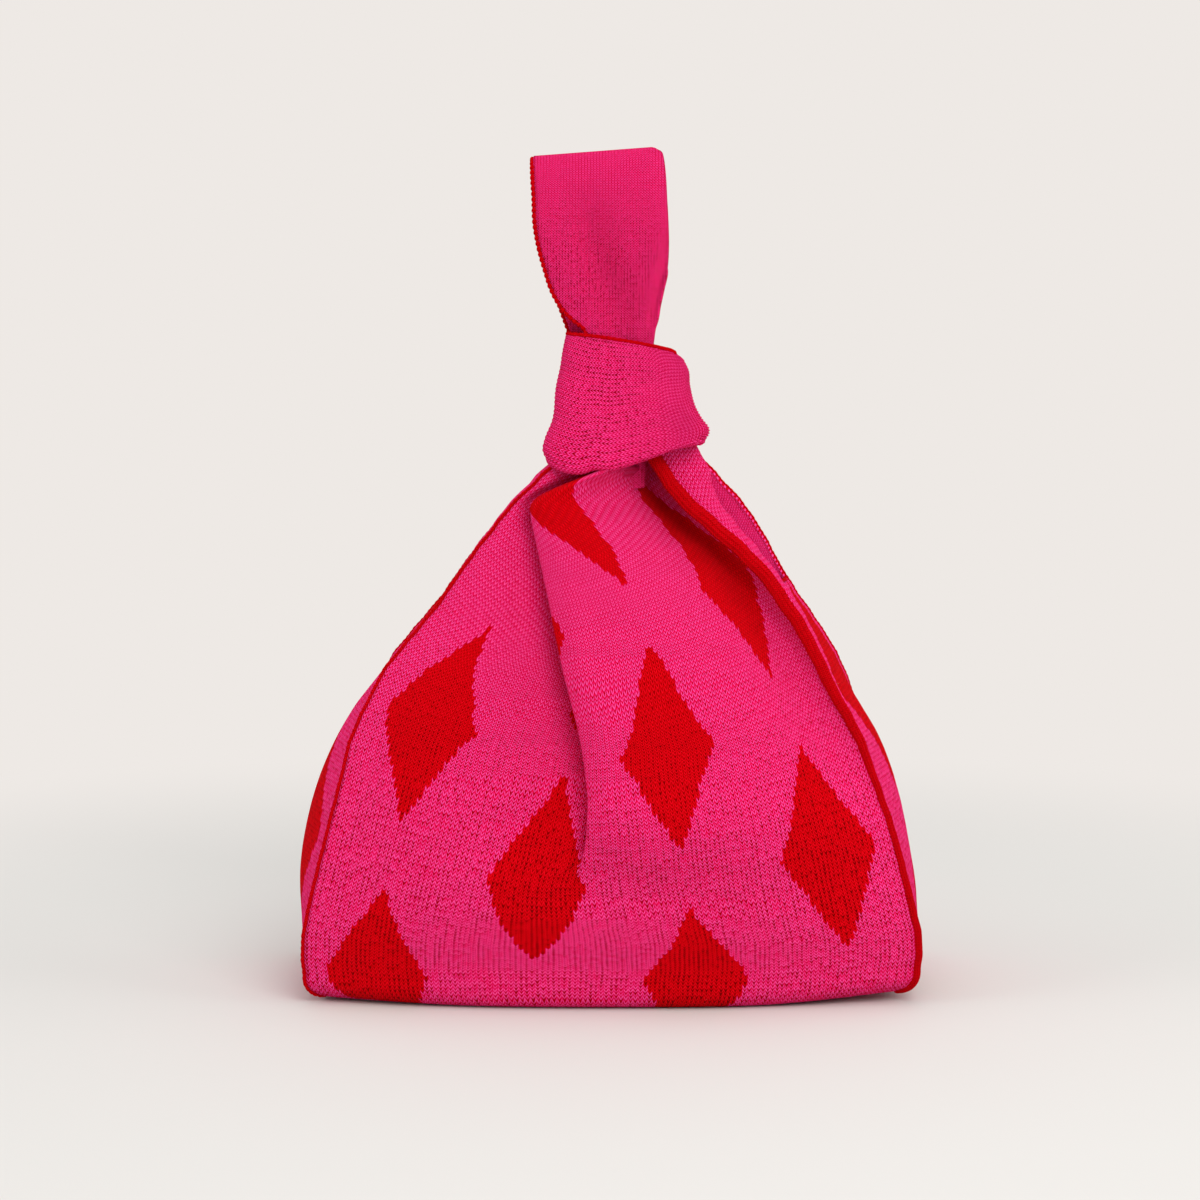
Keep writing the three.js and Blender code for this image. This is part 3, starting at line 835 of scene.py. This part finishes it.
class KNOTBAG_OT_base(bpy.types.Operator):
    """Builds the base of the bag"""

    bl_idname = "knotbag.base"
    bl_label = "Base"

    def execute(self, context):
        sizes = context.scene.knot_bag_sizes
        low, high = (np.array(c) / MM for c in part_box("base_panel"))
        depth = DEPTH.at(LOWEST_SEAM) - sizes.foot_radius / MM
        points, fabric = [], []
        x = np.linspace(low[0] - 4, high[0] + 4, 90)
        side = abs(SEAMS["front_left_seam"].at(LOWEST_SEAM)[1]) - sizes.foot_radius / MM
        for row in np.linspace(-1, 1, 40):
            y = row * (side + (depth - side) * (1 - np.abs(x / HALF_WIDTH) ** SQUARENESS) + 1)
            points.append(np.stack([x, y, lift_at(x) + OFF_FLOOR], axis=1))
            fabric.append(np.stack([x, y], axis=1))
        piece = cloth_object("base_cloth", np.array(points), np.array(fabric), MATERIALS["pink"],
                             sizes.cloth, flip=True)
        finish_piece(piece, ["base_panel", "base_seam"])
        return {"FINISHED"}


def station_frames(path, reference, ring=False):
    """Directions square to a path, the first of them as near to `reference` as can be."""
    if ring:
        run = np.roll(path, -1, axis=0) - np.roll(path, 1, axis=0)
    else:
        run = np.gradient(path, axis=0)
    run /= np.maximum(np.linalg.norm(run, axis=1, keepdims=True), 1e-9)
    first = reference - run * (run @ np.asarray(reference, float))[:, None]
    first /= np.maximum(np.linalg.norm(first, axis=1, keepdims=True), 1e-9)
    return first, np.cross(run, first)


def even_steps(path, step, ring=False):
    """The same path with points at an even distance."""
    path = np.asarray(path, float)
    if ring:
        path = np.concatenate([path, path[:1]])
    length = along(path)
    count = max(int(length[-1] / step), 4)
    stations = np.linspace(0, length[-1], count + 1)
    even = np.stack([np.interp(stations, length, path[:, k]) for k in range(3)], axis=1)
    return (even[:-1], stations[:-1]) if ring else (even, stations)


def cord_object(name, path, radius, material, reference, around=12, ring=False, shape=None, step=0.8):
    """A cord along a path in millimetres; shape(turn, length) scales its radius."""
    path, lengths = even_steps(path, step, ring)
    radius = radius(path) if callable(radius) else radius
    radius = np.broadcast_to(np.asarray(radius, float), len(path)).copy()
    if not ring:
        radius[[0, -1]] *= 0.05
        radius[[1, -2]] *= 0.7
    first, second = station_frames(path, reference, ring)
    turn = np.linspace(0, 2 * math.pi, around, endpoint=False)
    scale = np.ones((len(path), around))
    if shape:
        scale = shape(turn[None, :], lengths[:, None])
    out = first[:, None] * np.cos(turn)[None, :, None] + second[:, None] * np.sin(turn)[None, :, None]
    points = path[:, None] + out * (radius[:, None] * scale)[..., None]
    round_it = np.append(turn, 2 * math.pi) / (2 * math.pi)
    widest = 2 * math.pi * radius.max()
    fabric = np.stack(np.broadcast_arrays(round_it[None, :] * widest, lengths[:, None]), axis=2)
    if ring:
        points = np.concatenate([points, points[:1]])
        fabric = np.concatenate([fabric, fabric[-1:] + [0, step]])
    return cloth_object(name, points, fabric, material, 0, closed=True)


def linked(pitch, depth=0.22):
    """The bulges of a linked edge: one link after another, each with a parting down its middle."""
    def shape(turn, length):
        link = np.abs(np.sin(math.pi * (length / pitch + 0.12 * np.cos(2 * turn)))) ** 0.7
        return 1 - depth + depth * link - 0.10 * np.abs(np.cos(turn)) ** 6
    return shape


def ribbed(count, depth=0.09):
    """Ribs along a rolled edge, from its columns of stitches."""
    def shape(turn, length):
        return 1 + depth * np.cos(count * turn + 0.02 * length)
    return shape


# Radii of the linked edges: at the corners, at the mouth and the short handle's rim, and along the loop; and
# how far the corner cords stand off the seams' lines.
CORNER_CORD = 1.0
RIM_CORD = 1.15
LOOP_CORD = 1.3
CORD_STAND_OFF = 0.7


def seam_path(name, sizes):
    """A corner seam's centre line, from under the foot to its top."""
    points = []
    for z, inset, _ in wall_rows(sizes.foot_radius / MM, CLOTH_TOP):
        x, y = SEAMS[name].at(max(z, LOWEST_SEAM))
        x_in, y_in = x * (1 - inset / HALF_WIDTH), y * (1 - inset / HALF_DEPTH)
        points.append((x_in, y_in, z + float(wall_lift(x, z))))
    return np.array(points)


# The rolled edge's radius at a height.
ROLL_RADIUS = [(0, 1.7), (110, 1.9), (140, 2.4), (175, 3.0), (215, 3.3), (265, 3.2)]


class KNOTBAG_OT_seams(bpy.types.Operator):
    """Builds the four corner seams; the front right one is a rolled edge"""

    bl_idname = "knotbag.seams"
    bl_label = "Corner Seams"

    def execute(self, context):
        sizes = context.scene.knot_bag_sizes
        for name in ("front_left_seam", "back_left_seam", "back_right_seam"):
            path = seam_path(name, sizes)
            outward = np.array([np.sign(path[:, 0].mean()), np.sign(path[:, 1].mean()) * 0.6, 0])
            piece = cord_object(
                f"{name}_cord", path + outward * CORD_STAND_OFF, CORNER_CORD, MATERIALS["red"], outward,
                shape=linked(2.9, 0.35))
            finish_piece(piece, [name])
        path = seam_path("front_right_seam", sizes)
        piece = cord_object(
            "front_right_rolled_edge", path, lambda p: table(ROLL_RADIUS, p[:, 2]), MATERIALS["red"],
            (0.4, -1, 0), around=48, shape=ribbed(9))
        finish_piece(piece, ["front_right_seam"])
        return {"FINISHED"}


# How wide the turned strips of the mouth stand, at a height.
RIGHT_FACING = [
    (176, 1), (186, 5), (197, 6), (212, 9), (228, 14), (238, 18.5), (244.5, 21.8), (250, 22.8),
    (258, 21.5), (262, 20),
]
LEFT_FACING = [(176, 0.8), (200, 1.3), (230, 2.0), (262, 4)]


def mouth_strip(name, keys_at, counts, heights, kind, sizes, flip):
    """A turned strip of cloth beside the mouth, from the key points of its line at each height."""
    points, fabric = [], []
    for z in heights:
        line = smooth_line(keys_at(z), counts)
        level = np.full(len(line), z)
        points.append(np.column_stack([line, level]))
        fabric.append(np.column_stack([along(line), level]))
    piece = cloth_object(
        name, np.array(points), np.array(fabric), MATERIALS[kind], sizes.cloth * 0.8, flip=flip)
    finish_piece(piece, [])


class KNOTBAG_OT_mouth_facings(bpy.types.Operator):
    """Builds the turned strips of the mouth beside the knot, and the linked edges over the side walls"""

    bl_idname = "knotbag.mouth_facings"
    bl_label = "Mouth Facings and Edgings"

    def execute(self, context):
        sizes = context.scene.knot_bag_sizes
        for name, side, widths in (("left", -1, LEFT_FACING), ("right", 1, RIGHT_FACING)):
            front, back = SEAMS[f"front_{name}_seam"], SEAMS[f"back_{name}_seam"]

            def front_keys(z):
                (x, y), back_y = front.at(z), back.at(z)[1]
                width = float(curve(widths, z))
                edge_y = y + (back_y - y) * 0.5 * float(ease(z, SLIT_BOTTOM, 215))
                return [(x - side * 1, y + 1), (x + side * width * 0.5, y + (edge_y - y) * 0.3),
                        (x + side * width, edge_y), (x + side * (width + 0.4), edge_y + 1.5),
                        (x + side * width * 0.85, edge_y + 3), (x + side * width * 0.4, edge_y + 3)]

            def back_keys(z):
                (x, y), (back_x, back_y) = front.at(z), back.at(z)
                inner_x = x + side * (float(curve(widths, z)) - 5)
                gap = (back_y - y) * float(ease(z, 180, 215))
                return [(back_x + side * 0.6, back_y - 0.5), ((back_x + inner_x) / 2, back_y - 0.16 * gap),
                        (inner_x, back_y - 0.22 * gap), (inner_x - side * 6, back_y)]

            mouth_strip(f"{name}_mouth_facing", front_keys, [5, 5, 2, 2, 4],
                        np.linspace(SLIT_BOTTOM, WALL_TOP, 44), "pink", sizes, side < 0)
            mouth_strip(f"{name}_back_mouth_facing", back_keys, [5, 6, 4],
                        np.linspace(SLIT_BOTTOM + 12, WALL_TOP, 40), "loop", sizes, side > 0)
            top_row = gusset_points(side, sizes)[0][-1]
            path = top_row[4:-4] + [-side * 1.0, 0, 0.6]
            piece = cord_object(
                f"{name}_mouth_linked_edge", path, RIM_CORD, MATERIALS["red"], (0, 0, 1), shape=linked(3.2))
            finish_piece(piece, [f"{name}_mouth_edging"])
        return {"FINISHED"}


# The short handle's outer face: its left and right edges from foot (0) to rim (1), and how high its foot and
# its rim stand from left (-1) to right (1).
KNOT_LEFT = [(0, -31.0), (0.1, -32.7), (0.2, -31.6), (0.35, -28.2), (0.6, -26.6), (0.8, -24.4), (1, -21.8)]
KNOT_RIGHT = [
    (0, 45.4), (0.08, 46.6), (0.16, 46.6), (0.3, 43.2), (0.45, 40.2), (0.7, 38.2), (0.88, 37.2), (1, 34.8),
]
KNOT_FOOT_FRONT = [
    (-1, 248.5), (-0.85, 246.2), (-0.6, 245.2), (-0.4, 247.3), (-0.22, 246.5), (-0.05, 248.3),
    (0.3, 252.4), (0.6, 256.4), (0.85, 258.4), (1, 258.9),
]
KNOT_FOOT_BACK = [(-1, 248.5), (-0.5, 245.8), (0, 247.5), (0.5, 252), (1, 258.9)]
KNOT_RIM = [
    (-1, 309.8), (-0.55, 308.6), (-0.1, 306.8), (0.35, 304.8), (0.65, 303.0), (0.85, 301.4), (1, 298.5),
]


# Half the short handle's depth at its foot and at its rim, its middle, and the rolls at its foot and rim.
KNOT_FOOT_DEPTH = 25.5
KNOT_RIM_DEPTH = 10.6
KNOT_MIDDLE = np.array([7.5, 0])
FOOT_ROLL = 3.2
RIM_ROLL = 1.2


def knot_point(turn, v):
    """One spot of the short handle's outer face: `turn` round it, `v` from its foot to its rim."""
    power = 2 / 3.2
    across = np.sign(np.cos(turn)) * abs(np.cos(turn)) ** power
    deep = np.sign(np.sin(turn)) * abs(np.sin(turn)) ** power
    left, right = float(curve(KNOT_LEFT, v)), float(curve(KNOT_RIGHT, v))
    narrowing = (KNOT_RIM_DEPTH - KNOT_FOOT_DEPTH) * v ** 0.85
    depth = KNOT_FOOT_DEPTH + narrowing + 1.6 * math.sin(math.pi * v)
    feet = KNOT_FOOT_FRONT if deep < 0 else KNOT_FOOT_BACK
    foot, rim = float(curve(feet, across)), float(curve(KNOT_RIM, across))
    return np.array([
        (left + right) / 2 + across * (right - left) / 2,
        deep * depth,
        foot + (rim - foot) * v,
    ])


def knot_inward(spot):
    """The level direction from a spot of the short handle to its middle."""
    inward = np.array([*(KNOT_MIDDLE - spot[:2]), 0])
    return inward / max(np.linalg.norm(inward), 1e-6)


class KNOTBAG_OT_short_handle(bpy.types.Operator):
    """Builds the short handle that wraps the neck as a band, and its linked rim"""

    bl_idname = "knotbag.short_handle"
    bl_label = "Short Handle"

    def execute(self, context):
        sizes = context.scene.knot_bag_sizes
        turns = np.linspace(0, 2 * math.pi, 200, endpoint=False) + math.pi / 2
        rows = [("foot", a) for a in np.linspace(math.pi, 0, 9)[:-1]]
        rows += [("wall", v) for v in np.linspace(0, 1, 160)]
        rows += [("rim", a) for a in np.linspace(0, math.pi, 6)[1:]] + [("inside", 5.0), ("inside", 12.0)]
        points = []
        for kind, value in rows:
            row = []
            for turn in turns:
                v = value if kind == "wall" else (0.0 if kind == "foot" else 1.0)
                spot = knot_point(turn, v)
                inward = knot_inward(spot)
                if kind == "foot":
                    spot = spot + inward * FOOT_ROLL * (1 - math.cos(value)) * 0.8
                    spot[2] += FOOT_ROLL - FOOT_ROLL * math.sin(value)
                elif kind == "wall":
                    spot[2] += FOOT_ROLL * (1 - v) ** 6
                elif kind == "rim":
                    spot = spot + inward * RIM_ROLL * (1 - math.cos(value))
                    spot[2] += RIM_ROLL * math.sin(value)
                else:
                    spot = spot + inward * 2.6
                    spot[2] -= value
                row.append(spot)
            points.append(row)
        points = np.array(points)
        middle = points[45]
        round_it = along(np.concatenate([middle, middle[:1]]))
        up = np.cumsum([0, *np.linalg.norm(np.diff(points, axis=0), axis=2).mean(axis=1)])
        corner = np.cos(np.append(turns, turns[0]))
        wales = up[:, None] + 15 * ease(corner, 0.2, 1.0)[None, :] - 2.5 * ease(-corner, 0.3, 1.0)[None, :]
        points = self.creased(points, wales[:, :-1] / (sizes.stitch_width / MM * KNITS["knot"]["gauge"][0]))
        fabric = np.stack(np.broadcast_arrays(wales, round_it[None, :]), axis=2)
        piece = cloth_object("short_handle_cloth", points, fabric, MATERIALS["knot"], 0, closed=True)
        finish_piece(piece, ["short_handle"])

        rim = []
        for turn in turns:
            spot = knot_point(turn, 1.0)
            away = float(ease(math.cos(turn), 0.78, 0.95))
            rim.append(spot + knot_inward(spot) * (RIM_ROLL + 2.2 * away) + [0, 0, 1.5 - 4.5 * away])
        piece = cord_object("short_handle_linked_rim", rim, RIM_CORD, MATERIALS["red"], (0, 0, 1), ring=True,
                            shape=linked(2.7, 0.35))
        finish_piece(piece, ["short_handle_top_edging"])
        return {"FINISHED"}

    @staticmethod
    def creased(points, wales):
        """Ridges along the columns of stitches, deeper towards the right, and two soft hollows in front."""
        x, y, z = np.moveaxis(points, -1, 0)
        front = ease(-y, -8, 6)
        near_right = ease(x, 12, 36)
        near_left = ease(-x, 16, 28)
        low = 1 - 0.7 * ease(z, 262, 290)
        wave = -np.cos(2 * math.pi * wales) * (0.03 + 0.33 * near_right * low + 0.12 * near_left)
        sag = 1.3 * np.exp(-(((z - 292 + 0.12 * x) / 5) ** 2)) * front
        sag += 2.2 * np.exp(-(((x + 4) / 15) ** 2) - ((z - 282) / 14) ** 2) * front
        normals = grid_normals(points, closed=True)
        return points + normals * (wave - sag)[..., None]


# The long handle's straps, from inside the knot to the top fold: height, left edge, right edge, half depth.
STRAP = [
    (238, -11, 17, 5.0), (285, -12, 19, 5.5), (303, -12, 20.5, 6.5), (309, -12.4, 21.2, 7.2),
    (313.5, -14, 21.8, 7.4), (318, -19.5, 22.4, 7.4), (323, -24.2, 23.0, 7.6), (330.4, -28.6, 24.7, 8.4),
    (341, -32.2, 27.2, 10.2), (352.5, -35.3, 27.9, 11.8), (363, -37.0, 27.6, 12.2),
    (374.4, -37.4, 27.0, 11.6), (385, -38.0, 26.4, 9.6), (392, -38.2, 25.6, 7.0),
    (396, -38.2, 25.2, 4.2), (397.3, -38.2, 25.0, 0.0),
]
STRAP_TOP = STRAP[-1][0]
BACK_STRAP_LEFT = [(238, -14), (300, -19), (312, -21), (323, -25), (340, -31.8), (397.3, -38.2)]


# The part of a strap's width that its left linked edge takes up.
LEFT_EDGE = 1.5

# The loop's linked edges: name, column of the strap's points, and how far the cord stands across, inward and,
# at the top, down from it.
LOOP_EDGES = [("left", 0, -0.6, 0.4, 1.6), ("right", -1, -3.4, 1.6, 4.5)]

# Hollows (positive) and ridges of the front strap: start x, z, end x, z, width, depth.
LOOP_FOLDS = [
    (-12, 370, 8, 306, 9, 8.0),
    (26, 368, 10.5, 306, 3.2, -2.6),
    (29, 356, 16.0, 306, 2.2, 3.0),
    (-24, 345, -9, 318, 4, -1.0),
    (24, 385, 26, 340, 2.5, -0.8),
]


def strap_line(side):
    """Left edge, right edge, height and depth up one strap; side is -1 in front and 1 behind."""
    keys = np.array(STRAP)
    spaced = smooth_line(keys, [18] + [6] * (len(keys) - 2))
    if side > 0:
        left = table(BACK_STRAP_LEFT, spaced[:, 0])
        spaced[:, 1] = np.minimum(left, spaced[:, 1] + 3)
    spaced[:, 3] *= side
    return spaced


class KNOTBAG_OT_long_handle(bpy.types.Operator):
    """Builds the long handle: both straps through the knot and the loop above it, with linked edges"""

    bl_idname = "knotbag.long_handle"
    bl_label = "Long Handle"

    def execute(self, context):
        sizes = context.scene.knot_bag_sizes
        front, back = strap_line(-1), strap_line(1)
        whole = np.concatenate([front, back[-2::-1]])
        length = along(whole[:, (0, 3)])
        share = np.linspace(0, 1, 33)
        points = []
        for height, left, right, depth in whole:
            x = left + LEFT_EDGE + (right - left - LEFT_EDGE) * share
            top = ease(height, 375, STRAP_TOP)
            tilt = (share - 0.5) * 4.6 * top - 3.0 * ease(share, 0.9, 1.05) * ease(height, 388, STRAP_TOP)
            side = np.clip(depth / 6, -1, 1)
            round_off = 0.7 * np.abs(2 * share - 1) ** 4 * side
            curl = ease(share, 0.86, 1.0)
            y = depth - round_off - curl * 3.2 * min(side, 0)
            x = x - curl ** 2 * (1.55 + 0.95 * side)
            points.append(np.stack([x, y, np.full(len(x), height) + tilt], axis=1))
        points = np.array(points)
        in_front = whole[:, 3] < -0.5
        points[in_front] = soft_folds(points[in_front], LOOP_FOLDS)
        piece = self.cloth_with_thickness("long_handle_cloth", points, length, sizes)
        self.bend(piece, ["long_handle_neck", "carrying_loop"], "pink_knit")
        for name, column, across, inward, down in LOOP_EDGES:
            path = points[:, column] + [across, 0, 0]
            path[:, 1] -= np.sign(path[:, 1]) * inward
            path[:, 2] -= down * ease(path[:, 2], 386, 396)
            piece = cord_object(
                f"carrying_loop_{name}_linked_edge", path[path[:, 2] > 300], LOOP_CORD, MATERIALS["red"],
                (1, 0, 0), shape=linked(2.6, 0.6), step=0.45)
            self.bend(piece, [f"carrying_loop_{name}_edging"], "red_knit")
        return {"FINISHED"}

    @staticmethod
    def cloth_with_thickness(name, points, length, sizes):
        """The strap as a closed tube of cloth: its outer face, its edges and its inner face."""
        inner = points - grid_normals(points) * (sizes.cloth / MM)
        loop = np.concatenate([points, inner[:, ::-1]], axis=1)
        fabric = np.stack(np.broadcast_arrays(points[..., 0], length[:, None]), axis=2)
        fabric = np.concatenate([fabric, fabric[:, ::-1], fabric[:, :1]], axis=1)
        return cloth_object(name, loop, fabric, MATERIALS["loop"], 0, closed=True)

    @staticmethod
    def bend(piece, nodes, slot):
        """Bakes the piece's placement into its mesh and hides the CAD nodes that it stands for."""
        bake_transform(piece)
        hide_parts(*nodes)


# The floor takes shadows up to the first distance from its middle and is a plain colour past the second.
FLOOR_FADE = (0.3, 0.75)
FLOOR_REACH = 6.0


def floor_material(near, far):
    """A floor that takes the shadow near the object and is one plain colour further off."""
    material, w = empty_material("Studio Floor")
    diffuse = w.node("ShaderNodeBsdfDiffuse", {"Color": (*near, 1)})
    glow = w.node("ShaderNodeEmission", {"Color": (*far, 1)})
    place = w.node("ShaderNodeTexCoord")
    distance = w.node("ShaderNodeVectorMath", {0: place.outputs["Object"]}, operation="LENGTH")
    fade = w.node("ShaderNodeMapRange", {
        "Value": distance.outputs["Value"],
        "From Min": FLOOR_FADE[0],
        "From Max": FLOOR_FADE[1],
    }, interpolation_type="SMOOTHSTEP")
    path = w.node("ShaderNodeLightPath")
    share = w.math("MULTIPLY", fade.outputs[0], path.outputs["Is Camera Ray"])
    blend = w.node("ShaderNodeMixShader", {0: share, 1: diffuse.outputs[0], 2: glow.outputs[0]})
    w.node("ShaderNodeOutputMaterial", {0: blend.outputs[0]})
    return material


# Each lamp's name, place, size and power.
LAMPS = [
    ("Key Lamp", (0.6, -1.5, 1.3), 1.3, 18.5),
    ("Left Lamp", (-1.6, -0.5, 0.9), 1.4, 8),
    ("Right Lamp", (1.6, -0.3, 0.9), 1.4, 7),
    ("Top Lamp", (0.0, 0.3, 2.0), 1.6, 9),
]
LAMP_TARGET = Vector((0, 0, 0.17))
WORLD_STRENGTH = 0.6
CAMERA_LENS = 85
CAMERA_SENSOR = 36
CAMERA_DISTANCE = 1.36
CAMERA_RISE = 5.5
CAMERA_TARGET = Vector((-0.0053, 0, 0.184))


class KNOTBAG_OT_stage(bpy.types.Operator):
    """Builds the floor, the lamps, the world and the camera"""

    bl_idname = "knotbag.stage"
    bl_label = "Stage"

    def execute(self, context):
        scene = context.scene
        colours = scene.knot_bag_colours
        mesh = bpy.data.meshes.new("floor")
        corners = [(x * FLOOR_REACH, y * FLOOR_REACH, 0) for x, y in ((-1, -1), (1, -1), (1, 1), (-1, 1))]
        mesh.from_pydata(corners, [], [(0, 1, 2, 3)])
        mesh.materials.append(floor_material(colours.floor, colours.backdrop))
        floor = bpy.data.objects.new("floor", mesh)
        scene.collection.objects.link(floor)

        world = bpy.data.worlds.new("Studio")
        world.use_nodes = True
        scene.world = world
        w = Wiring(world.node_tree)
        back = world.node_tree.nodes["Background"]
        path = w.node("ShaderNodeLightPath")
        seen = path.outputs["Is Camera Ray"]
        w.feed(back.inputs["Color"], w.mix(seen, (1, 1, 1, 1), (*colours.backdrop, 1)))
        strength = w.math("MULTIPLY_ADD", seen, 1 - WORLD_STRENGTH, WORLD_STRENGTH)
        w.feed(back.inputs["Strength"], strength)

        for name, place, size, power in LAMPS:
            data = bpy.data.lights.new(name, "AREA")
            data.shape = "DISK"
            data.size = size
            data.energy = power
            self.aimed(name, data, Vector(place), LAMP_TARGET)

        data = bpy.data.cameras.new("Photo Camera")
        data.lens = CAMERA_LENS
        data.sensor_width = CAMERA_SENSOR
        rise = math.radians(CAMERA_RISE)
        place = CAMERA_TARGET + Vector((0, -math.cos(rise), math.sin(rise))) * CAMERA_DISTANCE
        scene.camera = self.aimed("Photo Camera", data, place, CAMERA_TARGET)
        scene.view_settings.view_transform = "Standard"
        return {"FINISHED"}

    @staticmethod
    def aimed(name, data, place, target):
        """A lamp or camera that looks from a place at a target."""
        made = bpy.data.objects.new(name, data)
        made.location = place
        made.rotation_euler = (target - place).to_track_quat("-Z", "Y").to_euler()
        bpy.context.scene.collection.objects.link(made)
        return made


class KNOTBAG_PT_panel(bpy.types.Panel):
    """Lists the bag's sizes, colours and pieces"""

    bl_idname = "KNOTBAG_PT_panel"
    bl_label = "Knot Bag"
    bl_space_type = "VIEW_3D"
    bl_region_type = "UI"
    bl_category = "Knot Bag"

    def draw(self, context):
        layout = self.layout
        for group in (context.scene.knot_bag_sizes, context.scene.knot_bag_colours):
            for name in group.__annotations__:
                layout.prop(group, name)
        for operator in PIECES:
            layout.operator(operator.bl_idname)


PIECES = [
    KNOTBAG_OT_front_panel,
    KNOTBAG_OT_back_panel,
    KNOTBAG_OT_gussets,
    KNOTBAG_OT_base,
    KNOTBAG_OT_seams,
    KNOTBAG_OT_mouth_facings,
    KNOTBAG_OT_short_handle,
    KNOTBAG_OT_long_handle,
    KNOTBAG_OT_stage,
]
CLASSES = [KnotBagSizes, KnotBagColours, *PIECES, KNOTBAG_PT_panel]


def register():
    for cls in CLASSES:
        bpy.utils.register_class(cls)
    bpy.types.Scene.knot_bag_sizes = bpy.props.PointerProperty(type=KnotBagSizes)
    bpy.types.Scene.knot_bag_colours = bpy.props.PointerProperty(type=KnotBagColours)


def unregister():
    del bpy.types.Scene.knot_bag_sizes
    del bpy.types.Scene.knot_bag_colours
    for cls in reversed(CLASSES):
        bpy.utils.unregister_class(cls)


def main():
    register()
    scene = bpy.context.scene
    make_materials(scene.knot_bag_sizes, scene.knot_bag_colours)
    for operator in PIECES:
        group, action = operator.bl_idname.split(".")
        getattr(getattr(bpy.ops, group), action)()


if __name__ == "__main__":
    main()
